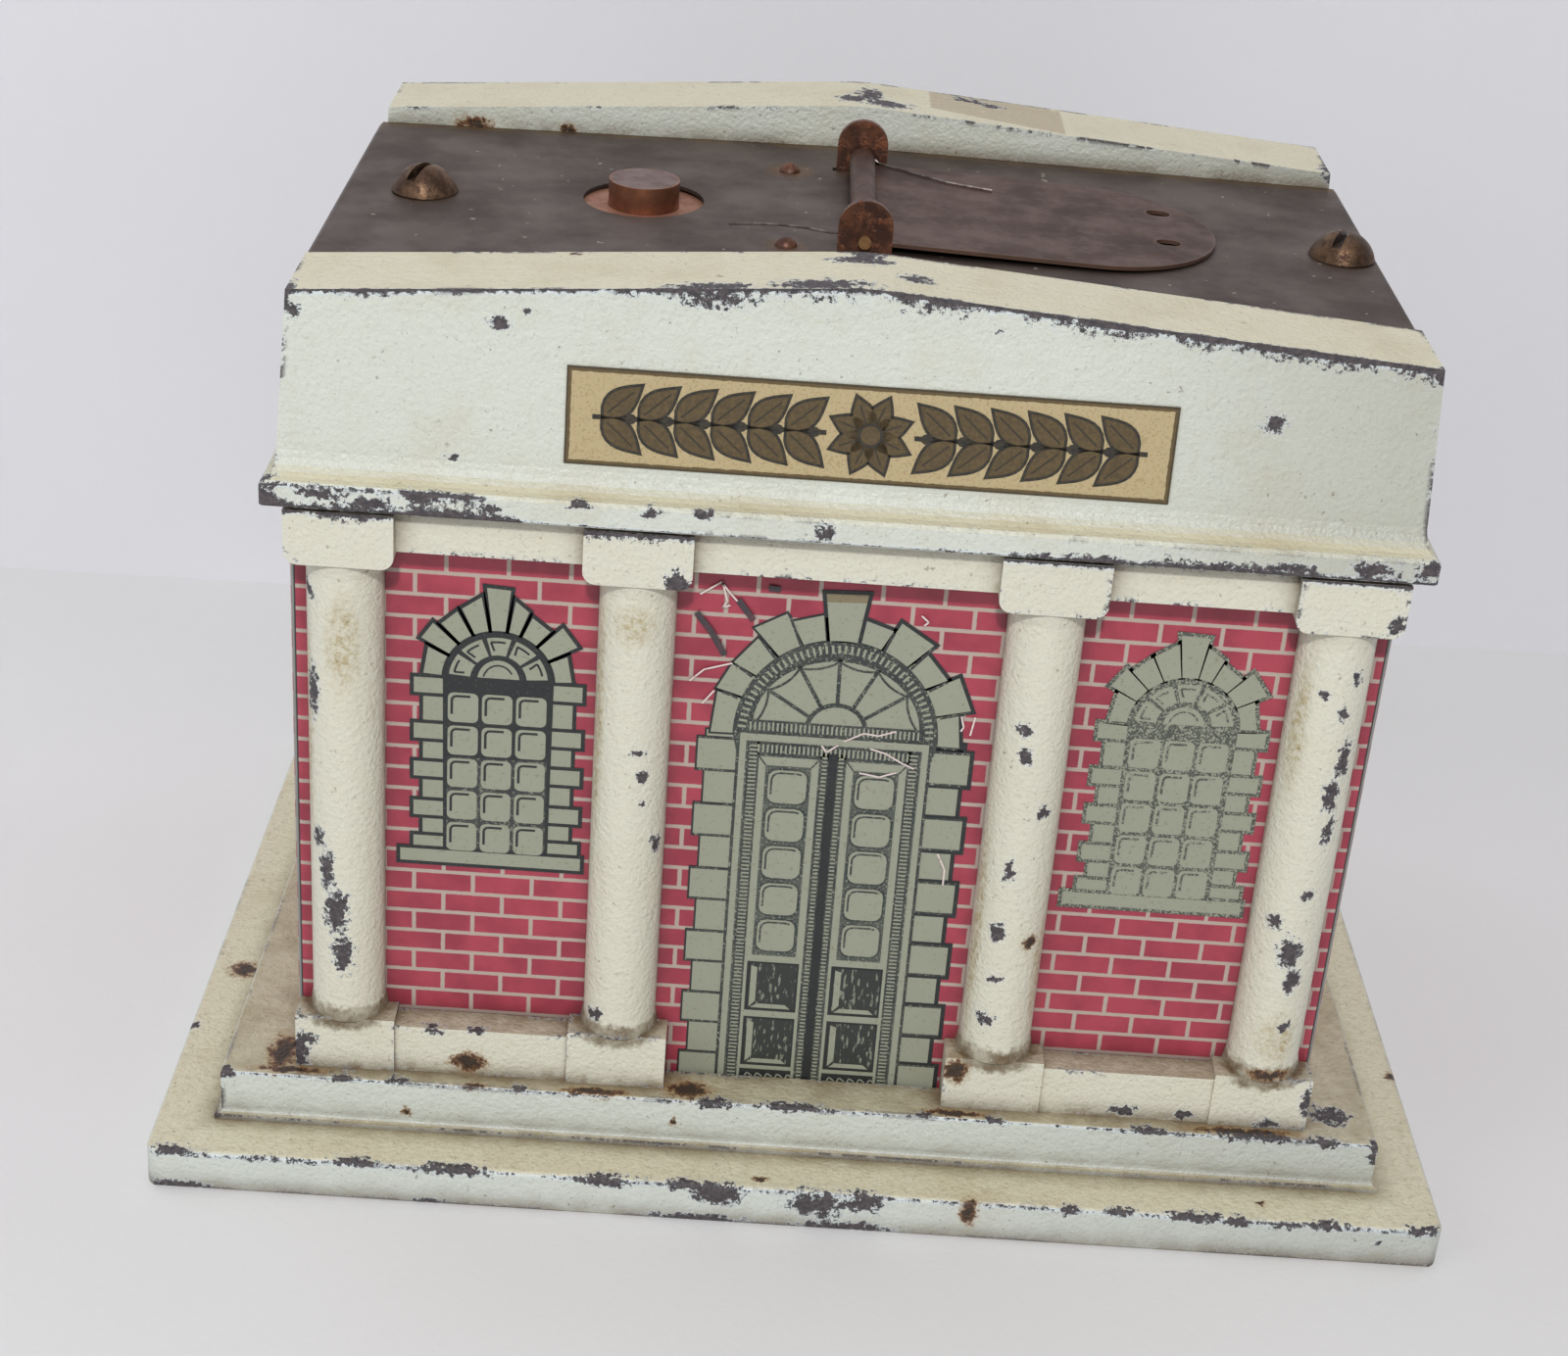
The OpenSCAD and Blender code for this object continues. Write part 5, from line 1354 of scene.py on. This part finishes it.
def stage_sheet(name, corners, tone):
    """A flat backdrop sheet of pale paper, clear from behind so that the back can be looked at."""
    mesh = bpy.data.meshes.new(name)
    mesh.from_pydata(corners, [], [list(range(len(corners)))])
    made = bpy.data.objects.new(name, mesh)
    bpy.context.scene.collection.objects.link(made)
    tree = Tree(name)
    colour = tree.mix(tree.times(tree.noise(60, 3), 0.2), tone, srgb(206, 200, 196))
    behind = tree.node("ShaderNodeNewGeometry").outputs["Backfacing"]
    tree.feed(tree.shader.inputs["Alpha"], tree.minus(1, behind))
    made.data.materials.append(tree.finish(colour, 0.7, 0.0, tree.times(tree.noise(1.5, 3), 0.05)))
    return made


WALL_Y = 0.1235
WALL_TURN = math.radians(1.7)
WALL_TOP = 1.2
FLOOR_HALF = 1.6


def wall_point(x, z):
    """A point of the backdrop wall, which stands slightly turned."""
    return x, WALL_Y + x * math.tan(WALL_TURN), z


stage_sheet(
    "floor",
    [
        (-FLOOR_HALF, -FLOOR_HALF, 0),
        (FLOOR_HALF, -FLOOR_HALF, 0),
        wall_point(FLOOR_HALF, 0),
        wall_point(-FLOOR_HALF, 0),
    ],
    srgb(229, 229, 230),
)
stage_sheet(
    "wall",
    [
        wall_point(-FLOOR_HALF, 0),
        wall_point(FLOOR_HALF, 0),
        wall_point(FLOOR_HALF, WALL_TOP),
        wall_point(-FLOOR_HALF, WALL_TOP),
    ],
    srgb(226, 227, 233),
)


def area_light(name, place, aim, size, power, tone):
    """A round lamp that faces what it lights."""
    light = bpy.data.lights.new(name, "AREA")
    light.shape = "DISK"
    light.size = size
    light.energy = power
    light.color = tone
    made = bpy.data.objects.new(name, light)
    made.location = place
    made.rotation_mode = "QUATERNION"
    made.rotation_quaternion = (Vector(aim) - Vector(place)).to_track_quat("-Z", "Y")
    bpy.context.scene.collection.objects.link(made)
    return made


KEY_ELEVATION = math.radians(41)
KEY_DISTANCE = 1.3
key_place = (
    -0.05,
    -KEY_DISTANCE * math.cos(KEY_ELEVATION),
    0.09 + KEY_DISTANCE * math.sin(KEY_ELEVATION),
)
LIGHT_AIM = (0, 0, 0.06)
area_light("key", key_place, LIGHT_AIM, size=0.1, power=10.8, tone=(1.0, 0.985, 0.96))
area_light("left_fill", (-0.8, -0.5, 0.5), LIGHT_AIM, size=0.6, power=1.1, tone=(0.9, 0.96, 1.0))

world = bpy.data.worlds.new("soft_room")
world.use_nodes = True
world.node_tree.nodes["Background"].inputs["Color"].default_value = (0.93, 0.95, 1.0, 1)
world.node_tree.nodes["Background"].inputs["Strength"].default_value = 0.3
bpy.context.scene.world = world
bpy.context.scene.view_settings.view_transform = "Standard"

CAMERA_PLACE = Vector((-11.45, -328.9, 218.97)) * MM
CAMERA_YAW = math.radians(-1.017)
CAMERA_PITCH = math.radians(27.293)
CAMERA_ROLL = math.radians(4.347)


def add_camera():
    """The camera at the angle that the box is seen from, level line rolled a little."""
    camera = bpy.data.cameras.new("camera")
    camera.sensor_width = 36
    camera.lens = 60.17
    camera.clip_start = 0.01
    right = Vector((math.cos(CAMERA_YAW), math.sin(CAMERA_YAW), 0))
    ahead = Vector(
        (
            -math.sin(CAMERA_YAW) * math.cos(CAMERA_PITCH),
            math.cos(CAMERA_YAW) * math.cos(CAMERA_PITCH),
            -math.sin(CAMERA_PITCH),
        )
    )
    up = right.cross(ahead)
    rolled_right = right * math.cos(CAMERA_ROLL) + up * math.sin(CAMERA_ROLL)
    rolled_up = up * math.cos(CAMERA_ROLL) - right * math.sin(CAMERA_ROLL)
    made = bpy.data.objects.new("camera", camera)
    turn = Matrix((rolled_right, rolled_up, -ahead)).transposed()
    made.matrix_world = Matrix.Translation(CAMERA_PLACE) @ turn.to_4x4()
    bpy.context.scene.collection.objects.link(made)
    bpy.context.scene.camera = made


add_camera()
